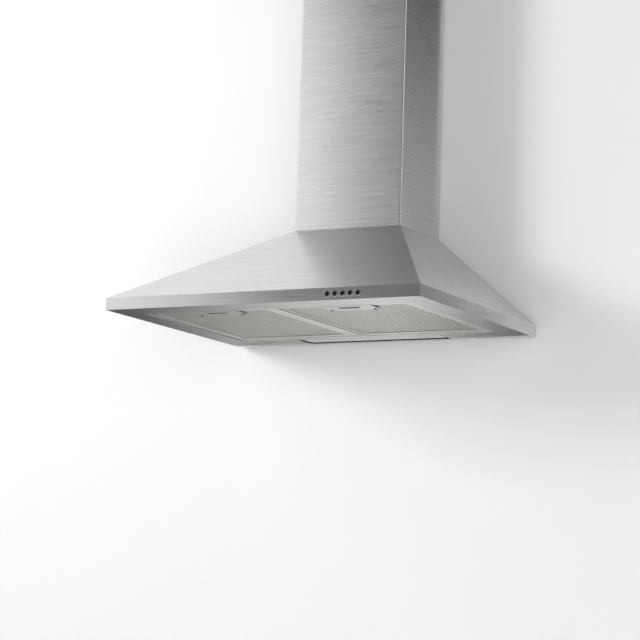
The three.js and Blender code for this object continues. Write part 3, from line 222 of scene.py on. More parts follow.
def grainVector(tree, place, facts, marks):
    # the grain runs along X on fronts and along Y on sides, on the slopes too, and turns at the mitres
    along, across = facts[marks]
    frontGrain = stretch(tree, place, (along, across, across))
    sideGrain = stretch(tree, place, (across, along, across))
    normal = add(tree, "ShaderNodeSeparateXYZ", {0: add(tree, "ShaderNodeNewGeometry").outputs["Normal"]})
    sideways = maths(tree, "ABSOLUTE", normal.outputs[0])
    forwards = maths(tree, "ABSOLUTE", normal.outputs[1])
    upright = maths(tree, "ADD", sideways, forwards)
    facesSide = ramp(tree, maths(tree, "SUBTRACT", sideways, forwards), -0.02, 0.02, 0.0, 1.0)
    spot = add(tree, "ShaderNodeSeparateXYZ", {0: place})
    pastSide = maths(tree, "SUBTRACT", maths(tree, "ABSOLUTE", spot.outputs[0]), facts["mitreX"])
    pastFront = maths(tree, "SUBTRACT", maths(tree, "MULTIPLY", spot.outputs[1], -1.0), facts["mitreY"])
    sideStrip = maths(tree, "GREATER_THAN", pastSide, maths(tree, "MAXIMUM", pastFront, 0.0))
    flat = ramp(tree, upright, 0.15, 0.25, 1.0, 0.0)
    onFlat = maths(tree, "MULTIPLY", flat, sideStrip)
    onUpright = maths(tree, "MULTIPLY", maths(tree, "SUBTRACT", 1.0, flat), facesSide)
    links = {0: maths(tree, "ADD", onFlat, onUpright), 4: frontGrain, 5: sideGrain}
    return add(tree, "ShaderNodeMix", links, data_type="VECTOR").outputs[1]


def brushedSteel(name, facts):
    material, tree = newTree(name)
    place = coordinates(tree)
    fine = noise(tree, grainVector(tree, place, facts, "fine"), 1.0, 3.0, 0.7)
    streaks = noise(tree, grainVector(tree, place, facts, "streaks"), 1.0)
    breaks = noise(tree, grainVector(tree, place, facts, "breaks"), 1.0, 1.0)
    broken = ramp(tree, breaks, 0.35, 0.65, 0.2, 1.5)
    marks = maths(tree, "MULTIPLY", maths(tree, "SUBTRACT", streaks, 0.5), broken)
    mixed = maths(tree, "ADD", maths(tree, "MULTIPLY", fine, facts["fineShare"]),
                  maths(tree, "MULTIPLY", marks, facts["streakShare"]))
    mixed = maths(tree, "ADD", mixed, 0.3)
    colour = shades(tree, ramp(tree, mixed, 0.25, 0.75, 0.0, 1.0), facts["dark"], facts["light"])
    colour, edge = wornEdges(tree, colour, facts)
    # painted shade darkens the seams, gaps and recesses
    colour = paintedSeamShade(tree, colour, facts["seamShadeReach"], facts["seamShade"])
    handled = ramp(tree, noise(tree, place, 5.0, 1.0), 0.35, 0.65, *facts["handled"])
    rough = maths(tree, "ADD", ramp(tree, mixed, 0.3, 0.7, *facts["rough"]), handled)
    rough = smoother(tree, rough, edge, 0.06)
    return surface(tree, material, colour, rough, fine, 0.00003, 0.35, Metallic=1.0)


zincSheet = {
    "dark": (0.54, 0.55, 0.565),
    "light": (0.68, 0.69, 0.705),
    "crystals": 210.0,
    "stretch": (1.0, 1.0, 0.8),  # crystals are a little taller than wide
    "rough": (0.34, 0.52),
    "edge": (0.78, 0.79, 0.8),
    "edgeWidth": 0.0008,
    "edgeShare": 0.6,
}


def spangled(name, facts):
    # hot-dip zinc: crystals of slightly different grey, some duller than others
    material, tree = newTree(name)
    place = coordinates(tree)
    links = {0: place, 1: facts["stretch"]}
    taller = add(tree, "ShaderNodeVectorMath", links, operation="MULTIPLY").outputs[0]
    crystals = add(tree, "ShaderNodeTexVoronoi", {"Vector": taller, "Scale": facts["crystals"]})
    grey = add(tree, "ShaderNodeSeparateColor", {0: crystals.outputs["Color"]}).outputs[0]
    fine = noise(tree, place, 900.0, 3.0)
    mixed = maths(tree, "MULTIPLY", grey, ramp(tree, fine, 0.3, 0.7, 0.8, 1.0))
    colour, edge = wornEdges(tree, shades(tree, mixed, facts["dark"], facts["light"]), facts)
    rough = smoother(tree, ramp(tree, grey, 0.0, 1.0, *facts["rough"]), edge, 0.1)
    return surface(tree, material, colour, rough, fine, 0.00004, 0.3, Metallic=0.9)


plainMetals = {
    # shades, roughness, scale of the rolled texture, and how much of its colour a seam keeps under the
    # painted shade
    "filterAluminium": {"dark": (0.72, 0.72, 0.685), "light": (0.90, 0.90, 0.855), "edge": (0.88, 0.88, 0.85),
                        "rough": (0.3, 0.42), "grain": 500.0, "metallic": 0.85, "seamShade": 0.65},
    "coreAluminium": {"dark": (0.62, 0.62, 0.59), "light": (0.80, 0.80, 0.77), "edge": (0.85, 0.85, 0.82),
                      "rough": (0.36, 0.5), "grain": 500.0, "metallic": 0.8, "seamShade": 0.8},
    "brassParts": {"dark": (0.62, 0.44, 0.2), "light": (0.78, 0.6, 0.32), "edge": (0.9, 0.75, 0.45),
                   "rough": (0.24, 0.36), "grain": 900.0, "metallic": 1.0, "seamShade": 0.3},
    "screwZinc": {"dark": (0.5, 0.5, 0.49), "light": (0.68, 0.68, 0.66), "edge": (0.85, 0.85, 0.84),
                  "rough": (0.25, 0.38), "grain": 1200.0, "metallic": 1.0, "seamShade": 0.3},
}


def plainMetal(name):
    # sheet or turned metal with a fine rolled texture, worn bright along its edges
    facts = {**plainMetals[name], "edgeWidth": 0.0006, "edgeShare": 0.7}
    material, tree = newTree(name)
    place = coordinates(tree)
    fine = noise(tree, stretch(tree, place, (1.0, 3.0, 3.0)), facts["grain"], 3.0)
    mixed = maths(tree, "MULTIPLY", maths(tree, "ADD", fine, noise(tree, place, 14.0)), 0.5)
    colour, edge = wornEdges(tree, shades(tree, mixed, facts["dark"], facts["light"]), facts)
    # painted shade darkens the seams, gaps and recesses
    colour = paintedSeamShade(tree, colour, 0.004, facts["seamShade"])
    rough = smoother(tree, ramp(tree, fine, 0.3, 0.7, *facts["rough"]), edge, 0.05)
    return surface(tree, material, colour, rough, fine, 0.00003, 0.3, Metallic=facts["metallic"])


plastics = {
    "blackPlastic": {"dark": (0.004, 0.004, 0.0045), "light": (0.010, 0.010, 0.011),
                     "rough": 0.3, "grain": 1800.0, "sheen": 0.25},
    "greyPlastic": {"dark": (0.17, 0.175, 0.18), "light": (0.22, 0.225, 0.23),
                    "rough": 0.48, "grain": 1500.0, "sheen": 0.5},
    "whitePlastic": {"dark": (0.70, 0.70, 0.68), "light": (0.78, 0.78, 0.76),
                     "rough": 0.42, "grain": 1500.0, "sheen": 0.5},
}


def moulded(name):
    # moulded plastic with a fine spark-eroded texture, rubbed smoother on its edges
    facts = plastics[name]
    material, tree = newTree(name)
    place = coordinates(tree)
    fine = noise(tree, place, facts["grain"])
    cloud = ramp(tree, noise(tree, place, 22.0), 0.3, 0.7, 0.0, 1.0)
    colour = shades(tree, cloud, facts["dark"], facts["light"])
    textured = ramp(tree, fine, 0.3, 0.7, facts["rough"] - 0.05, facts["rough"] + 0.07)
    rough = smoother(tree, textured, edgeMask(tree, 0.0005), 0.12)
    return surface(tree, material, colour, rough, fine, 0.00005, 0.25, Specular_IOR_Level=facts["sheen"])


opal = {
    "dark": (0.66, 0.67, 0.65),
    "light": (0.74, 0.75, 0.73),
    "ribs": 95.0,
    "rough": (0.28, 0.4),
    "clear": 0.15,
}


def diffuserPlastic(name, facts):
    # opal polycarbonate with fine ribs along its length
    material, tree = newTree(name)
    place = coordinates(tree)
    links = {"Vector": place, "Scale": facts["ribs"], "Distortion": 0.0}
    ribs = add(tree, "ShaderNodeTexWave", links, bands_direction="Y").outputs["Fac"]
    cloud = ramp(tree, noise(tree, place, 18.0), 0.3, 0.7, 0.0, 1.0)
    colour = shades(tree, cloud, facts["dark"], facts["light"])
    rough = ramp(tree, noise(tree, place, 1500.0), 0.3, 0.7, *facts["rough"])
    return surface(tree, material, colour, rough, ribs, 0.00025, 0.6, Transmission_Weight=facts["clear"])


frosted = {
    "dark": (0.86, 0.86, 0.84),
    "light": (0.95, 0.95, 0.93),
    "rough": (0.3, 0.42),
    "clear": 0.45,
}


def frostedGlass(name, facts):
    material, tree = newTree(name)
    place = coordinates(tree)
    fine = noise(tree, place, 1800.0)
    colour = shades(tree, noise(tree, place, 30.0), facts["dark"], facts["light"])
    rough = ramp(tree, fine, 0.3, 0.7, *facts["rough"])
    return surface(tree, material, colour, rough, fine, 0.00003, 0.2, Transmission_Weight=facts["clear"])


motorSteel = {
    "dark": (0.05, 0.052, 0.056),
    "light": (0.2, 0.2, 0.21),
    "sheets": 330.0,
    "rough": (0.38, 0.5),
    "edge": (0.4, 0.4, 0.41),
    "edgeWidth": 0.0006,
    "edgeShare": 0.6,
}


def laminations(name, facts):
    # painted motor steel: the stack's thin sheets show as fine lines across the shaft
    material, tree = newTree(name)
    place = coordinates(tree)
    links = {"Vector": place, "Scale": facts["sheets"]}
    sheets = add(tree, "ShaderNodeTexWave", links, bands_direction="X").outputs["Fac"]
    fine = noise(tree, place, 700.0, 3.0)
    colour = shades(tree, maths(tree, "MULTIPLY", sheets, fine), facts["dark"], facts["light"])
    colour, _ = wornEdges(tree, colour, facts)
    rough = ramp(tree, fine, 0.3, 0.7, *facts["rough"])
    return surface(tree, material, colour, rough, sheets, 0.0001, 0.3, Metallic=0.7)


polished = {
    "dark": (0.80, 0.80, 0.81),
    "light": (0.90, 0.90, 0.90),
    "scuffs": (300.0, 900.0, 900.0),
    "rough": (0.07, 0.14),
}


def chromed(name, facts):
    material, tree = newTree(name)
    scuffs = noise(tree, stretch(tree, coordinates(tree), facts["scuffs"]), 1.0, 3.0)
    colour = shades(tree, scuffs, facts["dark"], facts["light"])
    rough = ramp(tree, scuffs, 0.35, 0.7, *facts["rough"])
    return surface(tree, material, colour, rough, scuffs, 0.00001, 0.15, Metallic=1.0)


finishes = {
    # material slot: its material
    "stainless": brushedSteel("brushedStainless", brushed),
    "galvanised": spangled("zincSheet", zincSheet),
    "filter_aluminium": plainMetal("filterAluminium"),
    "chrome": chromed("chromePlate", polished),
    "black_plastic": moulded("blackPlastic"),
    "grey_plastic": moulded("greyPlastic"),
    "white_plastic": moulded("whitePlastic"),
    "lamp_diffuser": diffuserPlastic("opalDiffuser", opal),
    "bulb_glass": frostedGlass("frostedGlass", frosted),
    "dark_steel": laminations("motorSteel", motorSteel),
    "brass": plainMetal("brassParts"),
}
coreAluminium = plainMetal("coreAluminium")
screwZinc = plainMetal("screwZinc")
print("materials made:", len(finishes) + 2)


meshFacts = {
    "merge": 2e-6,  # corners nearer than this, in metres, are one
    "flat": 0.6,  # faces that meet at less than this, in degrees, are one
    "crease": 40.0,  # a piece looks creased where its faces meet at more
    "round": 28.0,  # an edge is rounded where they meet at more
}


def finishPiece(name, work, body, material, nodes=(), crease=meshFacts["crease"]):
    # the finished mesh: smooth where it curves, creased past the angle, riding on its body
    for face in work.faces:
        face.smooth = True
    for edge in work.edges:
        edge.smooth = len(edge.link_faces) == 2 and edge.calc_face_angle(math.pi) < math.radians(crease)
    mesh = bpy.data.meshes.new(name)
    work.to_mesh(mesh)
    work.free()
    mesh.materials.append(material)
    piece = bpy.data.objects.new(name, mesh)
    scene.collection.objects.link(piece)
    weighted = piece.modifiers.new("evenNormals", "WEIGHTED_NORMAL")
    weighted.keep_sharp = True
    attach(piece, body)
    if nodes:
        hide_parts(*nodes)


def mergedCopy(nodeName):
    # a CAD node's mesh with its corners merged and its flat faces whole again
    work = bmesh.new()
    work.from_mesh(cadNodes[nodeName].data)
    bmesh.ops.remove_doubles(work, verts=work.verts[:], dist=meshFacts["merge"])
    limit = math.radians(meshFacts["flat"])
    bmesh.ops.dissolve_limit(work, angle_limit=limit, verts=work.verts[:], edges=work.edges[:])
    return work


def roundEdges(work, width, segments, sharperThan=meshFacts["round"]):
    limit = math.radians(sharperThan)
    edges = [edge for edge in work.edges if len(edge.link_faces) == 2 and edge.calc_face_angle(0) > limit]
    bmesh.ops.bevel(work, geom=edges, offset=width, offset_type="OFFSET", affect="EDGES", segments=segments,
                    profile=0.5, material=-1, clamp_overlap=True)


def turned(profile, steps, place, axis):
    # a profile of (radius, along) points, turned about an axis through a place
    work = bmesh.new()
    points = [work.verts.new((radius, 0, along)) for radius, along in profile]
    line = [work.edges.new(pair) for pair in zip(points, points[1:])]
    bmesh.ops.spin(work, geom=points + line, cent=(0, 0, 0), axis=(0, 0, 1), angle=math.tau, steps=steps,
                   use_merge=True)
    bmesh.ops.remove_doubles(work, verts=work.verts[:], dist=1e-6)
    bmesh.ops.recalc_face_normals(work, faces=work.faces[:])
    aim = Vector((0, 0, 1)).rotation_difference(Vector(axis)).to_matrix().to_4x4()
    bmesh.ops.transform(work, matrix=Matrix.Translation(place) @ aim, verts=work.verts[:])
    return work


def collect(target, source):
    # adds a small mesh to a larger one
    keep = bpy.data.meshes.new("step")
    source.to_mesh(keep)
    source.free()
    target.from_mesh(keep)
    bpy.data.meshes.remove(keep)


def cutAt(work, place, away, clear=True):
    # cuts a mesh at a plane, and drops what lies past it
    everything = work.verts[:] + work.edges[:] + work.faces[:]
    return bmesh.ops.bisect_plane(work, geom=everything, plane_co=place, plane_no=away, clear_outer=clear)


def standUp(work):
    # a sheet that lay flat faces the room
    turn = Matrix.Rotation(math.pi / 2, 3, "X")
    bmesh.ops.rotate(work, verts=work.verts[:], cent=(0, 0, 0), matrix=turn)


dressedPieces = {
    # a piece with the CAD's own shape: (CAD node, the radius its edges are rounded to, segments)
    "canopySkin": ("canopy_shell", 0.0005, 2),
    "rearPanelSheet": ("rear_panel", 0.0003, 1),
    "topPlateSheet": ("top_plate", 0.0003, 1),
    "lowerChimneySkin": ("lower_chimney", 0.0003, 2),
    "upperChimneySkin": ("upper_chimney", 0.0003, 2),
    "chimneyBracketStrap": ("chimney_bracket", 0.0003, 1),
    "lightPanelSkin": ("light_panel", 0.0003, 2),
    "lampHousingTray": ("lamp_housing", 0.0003, 1),
    "lampSocketLeftBody": ("lamp_socket_left", 0.0005, 2),
    "lampSocketRightBody": ("lamp_socket_right", 0.0005, 2),
    "filterFrameLeftChannel": ("filter_frame_left", 0.0003, 2),
    "filterFrameRightChannel": ("filter_frame_right", 0.0003, 2),
    "latchPlateLeftPressing": ("latch_plate_left", 0.0004, 2),
    "latchPlateRightPressing": ("latch_plate_right", 0.0004, 2),
    "latchLeftSlide": ("latch_left", 0.0004, 2),
    "latchRightSlide": ("latch_right", 0.0004, 2),
    "switchBlockCase": ("switch_block", 0.0006, 2),
    "blowerHousingLeftHalf": ("blower_housing_left", 0.0004, 2),
    "blowerHousingRightHalf": ("blower_housing_right", 0.0004, 2),
    "outletAdapterDuct": ("outlet_adapter", 0.0004, 2),
    "motorCase": ("motor", 0.0008, 2),
    "motorBracketSpider": ("motor_bracket", 0.0004, 2),
    "capacitorCan": ("capacitor", 0.0006, 2),
    "terminalBoxTray": ("terminal_box", 0.0005, 2),
    "terminalCoverLid": ("terminal_cover", 0.0005, 2),
    "cableGlandBody": ("cable_gland", 0.0004, 2),
    "damperFlapLeftDisc": ("damper_flap_left", 0.0003, 1),
    "damperFlapRightDisc": ("damper_flap_right", 0.0003, 1),
}

slotOf = {row["node"]: row["material_slot"] for row in frame["record"]["subparts"]}

frameEdges = {
    # the middle gap and the flanges beside it as the photograph shows them: (x of the edge, shift), in metres
    "filter_frame_left": ((-0.0009, -0.0024), (-0.0185, -0.010)),
    "filter_frame_right": ((0.0009, 0.0024), (0.0185, -0.009)),
}
edgeReach = 0.0006  # corners within this of an edge's x move with it
middleClear = 0.0041  # nets and cores end this far from the hood's middle


def dressPieces():
    for name, (nodeName, width, segments) in dressedPieces.items():
        work = mergedCopy(nodeName)
        for place, shift in frameEdges.get(nodeName, ()):
            side = [corner for corner in work.verts if abs(corner.co.x - place) < edgeReach]
            bmesh.ops.translate(work, vec=(shift, 0, 0), verts=side)
        roundEdges(work, width, segments)
        slotName = slotOf[nodeName]
        finishPiece(name, work, cadNodes[nodeName]["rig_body"], finishes[slotName], [nodeName])


def makeCore(name, nodeName, side):
    # the corrugated sheets, cut off square at the middle gap and closed there
    work = mergedCopy(nodeName)
    cut = cutAt(work, (side * middleClear, 0, 0), (-side, 0, 0))
    loop = [item for item in cut["geom_cut"] if isinstance(item, bmesh.types.BMEdge)]
    bmesh.ops.edgenet_fill(work, edges=loop)
    bmesh.ops.recalc_face_normals(work, faces=work.faces[:])
    finishPiece(name, work, cadNodes[nodeName]["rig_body"], coreAluminium, [nodeName])


dressPieces()
makeCore("filterCoreLeftSheets", "filter_core_left", -1)
makeCore("filterCoreRightSheets", "filter_core_right", 1)
print("sheet metal and housings dressed:", len(dressedPieces))


filterNet = {
    # expanded aluminium, its long diamonds towards the wall
    "diamondWidth": 0.0057,
    "diamondLength": 0.0170,
    "strand": 0.0019,
    "thickness": 0.0005,
    "twist": 0.00022,  # how far one edge of each strand is pulled up
    "lean": (-0.94, -0.34),  # the direction towards that edge
    "pocketHalf": 0.0245,
    "pocketRear": 0.0290,  # the latch pocket's room, from the net's front edge
}


def diamondSheet(low, high, facts):
    # a square grid on its corners, pulled to the diamonds' size, a little larger than the net
    centre = (low + high) / 2
    span = max((high.x - low.x) / facts["diamondWidth"], (high.y - low.y) / facts["diamondLength"])
    cells = int(span * 2) + 4
    work = bmesh.new()
    bmesh.ops.create_grid(work, x_segments=cells, y_segments=cells, size=cells / 2)
    bmesh.ops.rotate(work, verts=work.verts[:], cent=(0, 0, 0), matrix=Matrix.Rotation(math.pi / 4, 3, "Z"))
    stretchBy = (facts["diamondWidth"] / math.sqrt(2), facts["diamondLength"] / math.sqrt(2), 1)
    bmesh.ops.scale(work, vec=stretchBy, verts=work.verts[:])
    bmesh.ops.translate(work, vec=(centre.x, centre.y, low.z), verts=work.verts[:])
    reach = Vector((facts["diamondWidth"], facts["diamondLength"], 0))
    outer = [corner for corner in work.verts
             if any(abs(corner.co[i] - centre[i]) > (high[i] - low[i]) / 2 + reach[i] for i in (0, 1))]
    bmesh.ops.delete(work, geom=outer, context="VERTS")
    return work


def openDiamonds(work, facts):
    # leaves a strand along each diamond's sides, twisted as the stretching leaves it
    made = bmesh.ops.inset_individual(work, faces=work.faces[:], thickness=facts["strand"] / 2, depth=0,
                                      use_even_offset=True)
    rims = set(made["faces"])
    holes = [face for face in work.faces if face not in rims]
    across = Vector((*facts["lean"], 0)) / facts["diamondWidth"]
    for face in holes:
        middle = face.calc_center_median()
        for corner in face.verts:
            corner.co.z += facts["twist"] * (0.5 + (corner.co - middle).dot(across))
    bmesh.ops.delete(work, geom=holes, context="FACES_ONLY")


def trimNet(work, low, high, facts):
    # cuts the net to its frame, and leaves the latch pocket free
    centre = (low + high) / 2
    left, right = (low.x, -middleClear) if centre.x < 0 else (middleClear, high.x)
    cutAt(work, (left, 0, 0), (-1, 0, 0))
    cutAt(work, (right, 0, 0), (1, 0, 0))
    cutAt(work, (0, low.y, 0), (0, -1, 0))
    cutAt(work, (0, high.y, 0), (0, 1, 0))
    pocket = [face for face in work.faces
              if abs(face.calc_center_median().x - centre.x) < facts["pocketHalf"]
              and face.calc_center_median().y < low.y + facts["pocketRear"]]
    bmesh.ops.delete(work, geom=pocket, context="FACES")


def makeNet(name, nodeName, facts):
    low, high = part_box(nodeName)
    work = diamondSheet(low, high, facts)
    openDiamonds(work, facts)
    trimNet(work, low, high, facts)
    bmesh.ops.recalc_face_normals(work, faces=work.faces[:])
    bmesh.ops.solidify(work, geom=work.faces[:], thickness=facts["thickness"])
    bmesh.ops.recalc_face_normals(work, faces=work.faces[:])
    slotName = "filter_aluminium"
    finishPiece(name, work, cadNodes[nodeName]["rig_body"], finishes[slotName], [nodeName])


makeNet("filterNetLeftMesh", "filter_net_left", filterNet)
makeNet("filterNetRightMesh", "filter_net_right", filterNet)
print("filter nets made")


buttonRow = {
    "count": 5,
    "steps": 48,
    "capRadius": 0.0034,
    "capLength": 0.0058,
    "capChamfer": (0.0004, 0.0003),  # inwards and along
    "domeRise": 0.0007,
    "domeTurns": (0, 15, 30, 45, 60, 72, 82, 90),
    "stemRadius": 0.0024,
    "bezelRadius": 0.0058,
    "bezelBore": 0.0036,
    "bezelProud": 0.0016,
    "lipTurns": (0, 20, 40, 60, 75, 90),
    "mouth": ((0, 0.00045), (0.00012, 0.00016), (0.0003, 0.00003)),  # where the bore opens: outwards, along
    "rimThick": 0.0003,
    "skirtRadius": 0.0049,
    "stripThick": 0.0014,
    "stripCorner": 0.0025,
}


def makeButton(number, facts):
    # a domed cap on its stem, which reaches back into the switch block
    nodeName = "button_%d" % number
    low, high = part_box(nodeName)
    place = ((low.x + high.x) / 2, low.y, (low.z + high.z) / 2)
    radius, rise, stem = facts["capRadius"], facts["domeRise"], facts["stemRadius"]
    dome = [(radius * math.sin(turn), rise * (1 - math.cos(turn)))
            for turn in map(math.radians, facts["domeTurns"])]
    inwards, along = facts["capChamfer"]
    capEnd, stemEnd = facts["capLength"], high.y - low.y
    profile = [*dome, (radius, capEnd - along), (radius - inwards, capEnd), (stem, capEnd), (stem, stemEnd),
               (0, stemEnd)]
    work = turned(profile, facts["steps"], place, (0, 1, 0))
    finishPiece("button%dCap" % number, work, cadNodes[nodeName]["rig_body"], finishes["black_plastic"],
                [nodeName], crease=35.0)
    return place


def makeBezel(place, low, high, facts):
    # a ring with a rounded lip, and a skirt behind it
    outer, bore, proud = facts["bezelRadius"], facts["bezelBore"], facts["bezelProud"]
    skirt, rim, back = facts["skirtRadius"], proud - facts["rimThick"], high.y - low.y
    lip = [(outer - proud / 2 * (1 - math.sin(turn)), proud / 2 * (1 - math.cos(turn)))
           for turn in map(math.radians, facts["lipTurns"])]
    mouth = [(bore + outwards, along) for outwards, along in facts["mouth"]]
    profile = [(bore, back), *mouth, *lip, (outer, rim), (skirt, rim), (skirt, back), (bore, back)]
    return turned(profile, facts["steps"], (place[0], low.y, place[2]), (0, 1, 0))


def makeStrip(low, high, facts):
    # the moulding that joins the rings behind the sheet
    thick = facts["stripThick"]
    middle = (low + high) / 2
    strip = bmesh.new()
    bmesh.ops.create_cube(strip, size=1)
    bmesh.ops.scale(strip, vec=(high.x - low.x, thick, high.z - low.z), verts=strip.verts[:])
    bmesh.ops.translate(strip, vec=(middle.x, high.y - thick / 2, middle.z), verts=strip.verts[:])
    corners = [edge for edge in strip.edges if abs(edge.verts[0].co.y - edge.verts[1].co.y) > thick / 2]
    bmesh.ops.bevel(strip, geom=corners, offset=facts["stripCorner"], offset_type="OFFSET", affect="EDGES",
                    segments=4, profile=0.5, material=-1)
    return strip


def makeBezels(places, facts):
    low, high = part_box("bezel_strip")
    work = bmesh.new()
    for place in places:
        collect(work, makeBezel(place, low, high, facts))
    collect(work, makeStrip(low, high, facts))
    finishPiece("bezelRow", work, "hood", finishes["chrome"], ["bezel_strip"], crease=50.0)


buttonPlaces = [makeButton(number + 1, buttonRow) for number in range(buttonRow["count"])]
makeBezels(buttonPlaces, buttonRow)
print("buttons and bezels made")


def paintCadNodes():
    # the CAD nodes that stay take the finish of their slot
    for nodeName, node in cadNodes.items():
        if not node.hide_render:
            for holder in node.material_slots:
                holder.material = finishes[slotOf[nodeName]]


paintCadNodes()


def bothSides(places):
    return [(side * x, y, z) for side in (-1, 1) for x, y, z in places]


def aroundShaft(y, z, radius, turns):
    angles = [math.radians(turn) for turn in turns]
    return [(0, y + radius * math.sin(angle), z + radius * math.cos(angle)) for angle in angles]


motorArms = {"y": -0.097, "z": 0.021, "radius": 0.046, "turns": (60, 180, 300)}

screwGroups = {
    # group: (CAD node, the way its screws are driven, their places, whose part along that way isn't used)
    "rearPanelScrews": ("rear_panel", (0, -1, 0), bothSides([
        (0.285, 0, -0.108), (0.20, 0, -0.065), (0.12, 0, 0.045), (0.05, 0, 0.052)])),
    "bracketScrews": ("chimney_bracket", (0, -1, 0), bothSides([(0.085, 0, 0.6065)])),
    "terminalCoverScrews": ("terminal_cover", (0, 1, 0), [
        (-0.158, 0, -0.053), (-0.158, 0, -0.015), (-0.102, 0, -0.053), (-0.102, 0, -0.015)]),
    "motorBracketScrews": ("motor_bracket", (-1, 0, 0), aroundShaft(**motorArms)),
    "capacitorClipScrews": ("capacitor_clip", (0, 1, 0), [(0.0965, 0, -0.032), (0.1395, 0, -0.032)]),
    "latchScrewsLeft": ("latch_plate_left", (0, 0, 1), [(-0.168, -0.392, 0), (-0.0865, -0.392, 0)]),
    "latchScrewsRight": ("latch_plate_right", (0, 0, 1), [(0.0865, -0.392, 0), (0.168, -0.392, 0)]),
}

screwShape = {
    "flange": 0.0036,
    "flangeHeight": 0.0006,
    "flangeSteps": 24,
    "hexRadius": 0.0026,
    "headHeight": 0.0022,
    "chamfer": (0.0004, 0.0003),  # inwards and down
    "dish": 0.0004,  # how deep the head's top is pressed in
    "sunk": 0.0004,  # the flange's underside lies this far in the sheet
    "castFrom": 0.01,  # the line that finds the seat starts this far outside the node's box
    "squareness": 0.9,  # a seat faces the driver at least this squarely, as a cosine
}


def makeScrew(place, outward, facts):
    # a hexagon head on a round flange
    flange, rim, radius, top = (facts[key] for key in ("flange", "flangeHeight", "hexRadius", "headHeight"))
    sunk, dished = facts["sunk"], top - facts["dish"]
    inwards, down = facts["chamfer"]
    washer = turned([(0, -sunk), (flange, -sunk), (flange, rim * 0.6), (flange - rim, rim), (0, rim)],
                    facts["flangeSteps"], place, outward)
    head = turned([(0, rim * 0.5), (radius, rim * 0.5), (radius, top - down), (radius - inwards, top),
                   (radius * 0.6, top), (radius * 0.5, dished), (0, dished)], 6, place, outward)
    collect(washer, head)
    return washer


def makeScrews(name, nodeName, drive, places, facts):
    # each screw sits where a line cast on the CAD's faces meets them
    shape = bmesh.new()
    shape.from_mesh(cadNodes[nodeName].data)
    tree = BVHTree.FromBMesh(shape)
    shape.free()
    low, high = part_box(nodeName)
    way = Vector(drive)
    axis = [abs(part) for part in drive].index(1)
    outside = low[axis] - facts["castFrom"] if way[axis] > 0 else high[axis] + facts["castFrom"]
    work = bmesh.new()
    for place in places:
        start = Vector(place)
        start[axis] = outside
        spot, normal, _, _ = tree.ray_cast(start, way)
        if spot is None or normal.dot(way) > -facts["squareness"]:
            print("no seat for", name, place)
            continue
        collect(work, makeScrew(spot, -way, facts))
    finishPiece(name, work, cadNodes[nodeName]["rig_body"], screwZinc, crease=25.0)


for groupName, groupFacts in screwGroups.items():
    makeScrews(groupName, *groupFacts, screwShape)
print("groups of screws seated:", len(screwGroups))


lampCover = {
    "radius": 0.0009,
    "segments": 4,
    "recess": 0.0017,  # how far the diffuser lies above the lower edge of its black seal, whose black paints the gap's shadow line
    "roundFrom": 40.0,  # the diffuser's edges are rounded past this angle, in degrees
    "shadowSealWidth": 0.0012,
    "shadowSealRadius": 0.00025,
    "shadowSealSegments": 2,
    "facing": 0.99,  # a face looks down where its normal does at least this much
    "level": 1e-5,  # and belongs to the underside within this height of the lowest corner
    "middleArea": 0.005,  # square metres; only the face inside the black seal is larger
}


def undersideOf(work, facts):
    lowest = min(corner.co.z for corner in work.verts)
    return [face for face in work.faces if face.normal.z < -facts["facing"]
            and abs(face.calc_center_median().z - lowest) < facts["level"]]


def makeDiffuser(facts):
    work = mergedCopy("lamp_cover")
    corners = {corner for face in undersideOf(work, facts) for corner in face.verts}
    bmesh.ops.translate(work, vec=(0, 0, facts["recess"]), verts=list(corners))
    roundEdges(work, facts["radius"], facts["segments"], facts["roundFrom"])
    slotName = "lamp_diffuser"
    finishPiece("lampCoverDiffuser", work, "lamp_cover", finishes[slotName], ["lamp_cover"])


def makeShadowSeal(facts):
    # a thin black seal along the edge of the cover's underside; its black paints the dark shadow line of the
    # gap around the cover
    shadowSeal = mergedCopy("lamp_cover")
    under = set(undersideOf(shadowSeal, facts))
    bmesh.ops.delete(shadowSeal, geom=[face for face in shadowSeal.faces if face not in under], context="FACES")
    bmesh.ops.inset_region(shadowSeal, faces=shadowSeal.faces[:], thickness=facts["shadowSealWidth"], depth=0,
                           use_even_offset=True, use_boundary=True)
    middle = [face for face in shadowSeal.faces if face.calc_area() > facts["middleArea"]]
    bmesh.ops.delete(shadowSeal, geom=middle, context="FACES")
    grown = bmesh.ops.extrude_face_region(shadowSeal, geom=shadowSeal.faces[:])
    risen = [item for item in grown["geom"] if isinstance(item, bmesh.types.BMVert)]
    bmesh.ops.translate(shadowSeal, vec=(0, 0, facts["recess"]), verts=risen)
    bmesh.ops.recalc_face_normals(shadowSeal, faces=shadowSeal.faces[:])
    roundEdges(shadowSeal, facts["shadowSealRadius"], facts["shadowSealSegments"])
    finishPiece("lampCoverShadowSeal", shadowSeal, "lamp_cover", finishes["black_plastic"])


makeDiffuser(lampCover)
makeShadowSeal(lampCover)
print("lamp cover made")


stageFacts = {
    # a pale wall behind the hood and a pale floor below it
    "wallY": 0.006,
    "wallReach": 4.0,
    "floorZ": -1.75,
    "floorPale": 0.88,
    "colour": (0.93, 0.93, 0.93),
    "opening": (-0.095, 0.055, 0.6),  # heights of the wall's opening, which lets light reach the hood's back
    "rimHalf": 0.265,
    "chimneyHalf": 0.085,
    "slope": (0.192, 0.164),  # the canopy's side runs in and rises by this
}


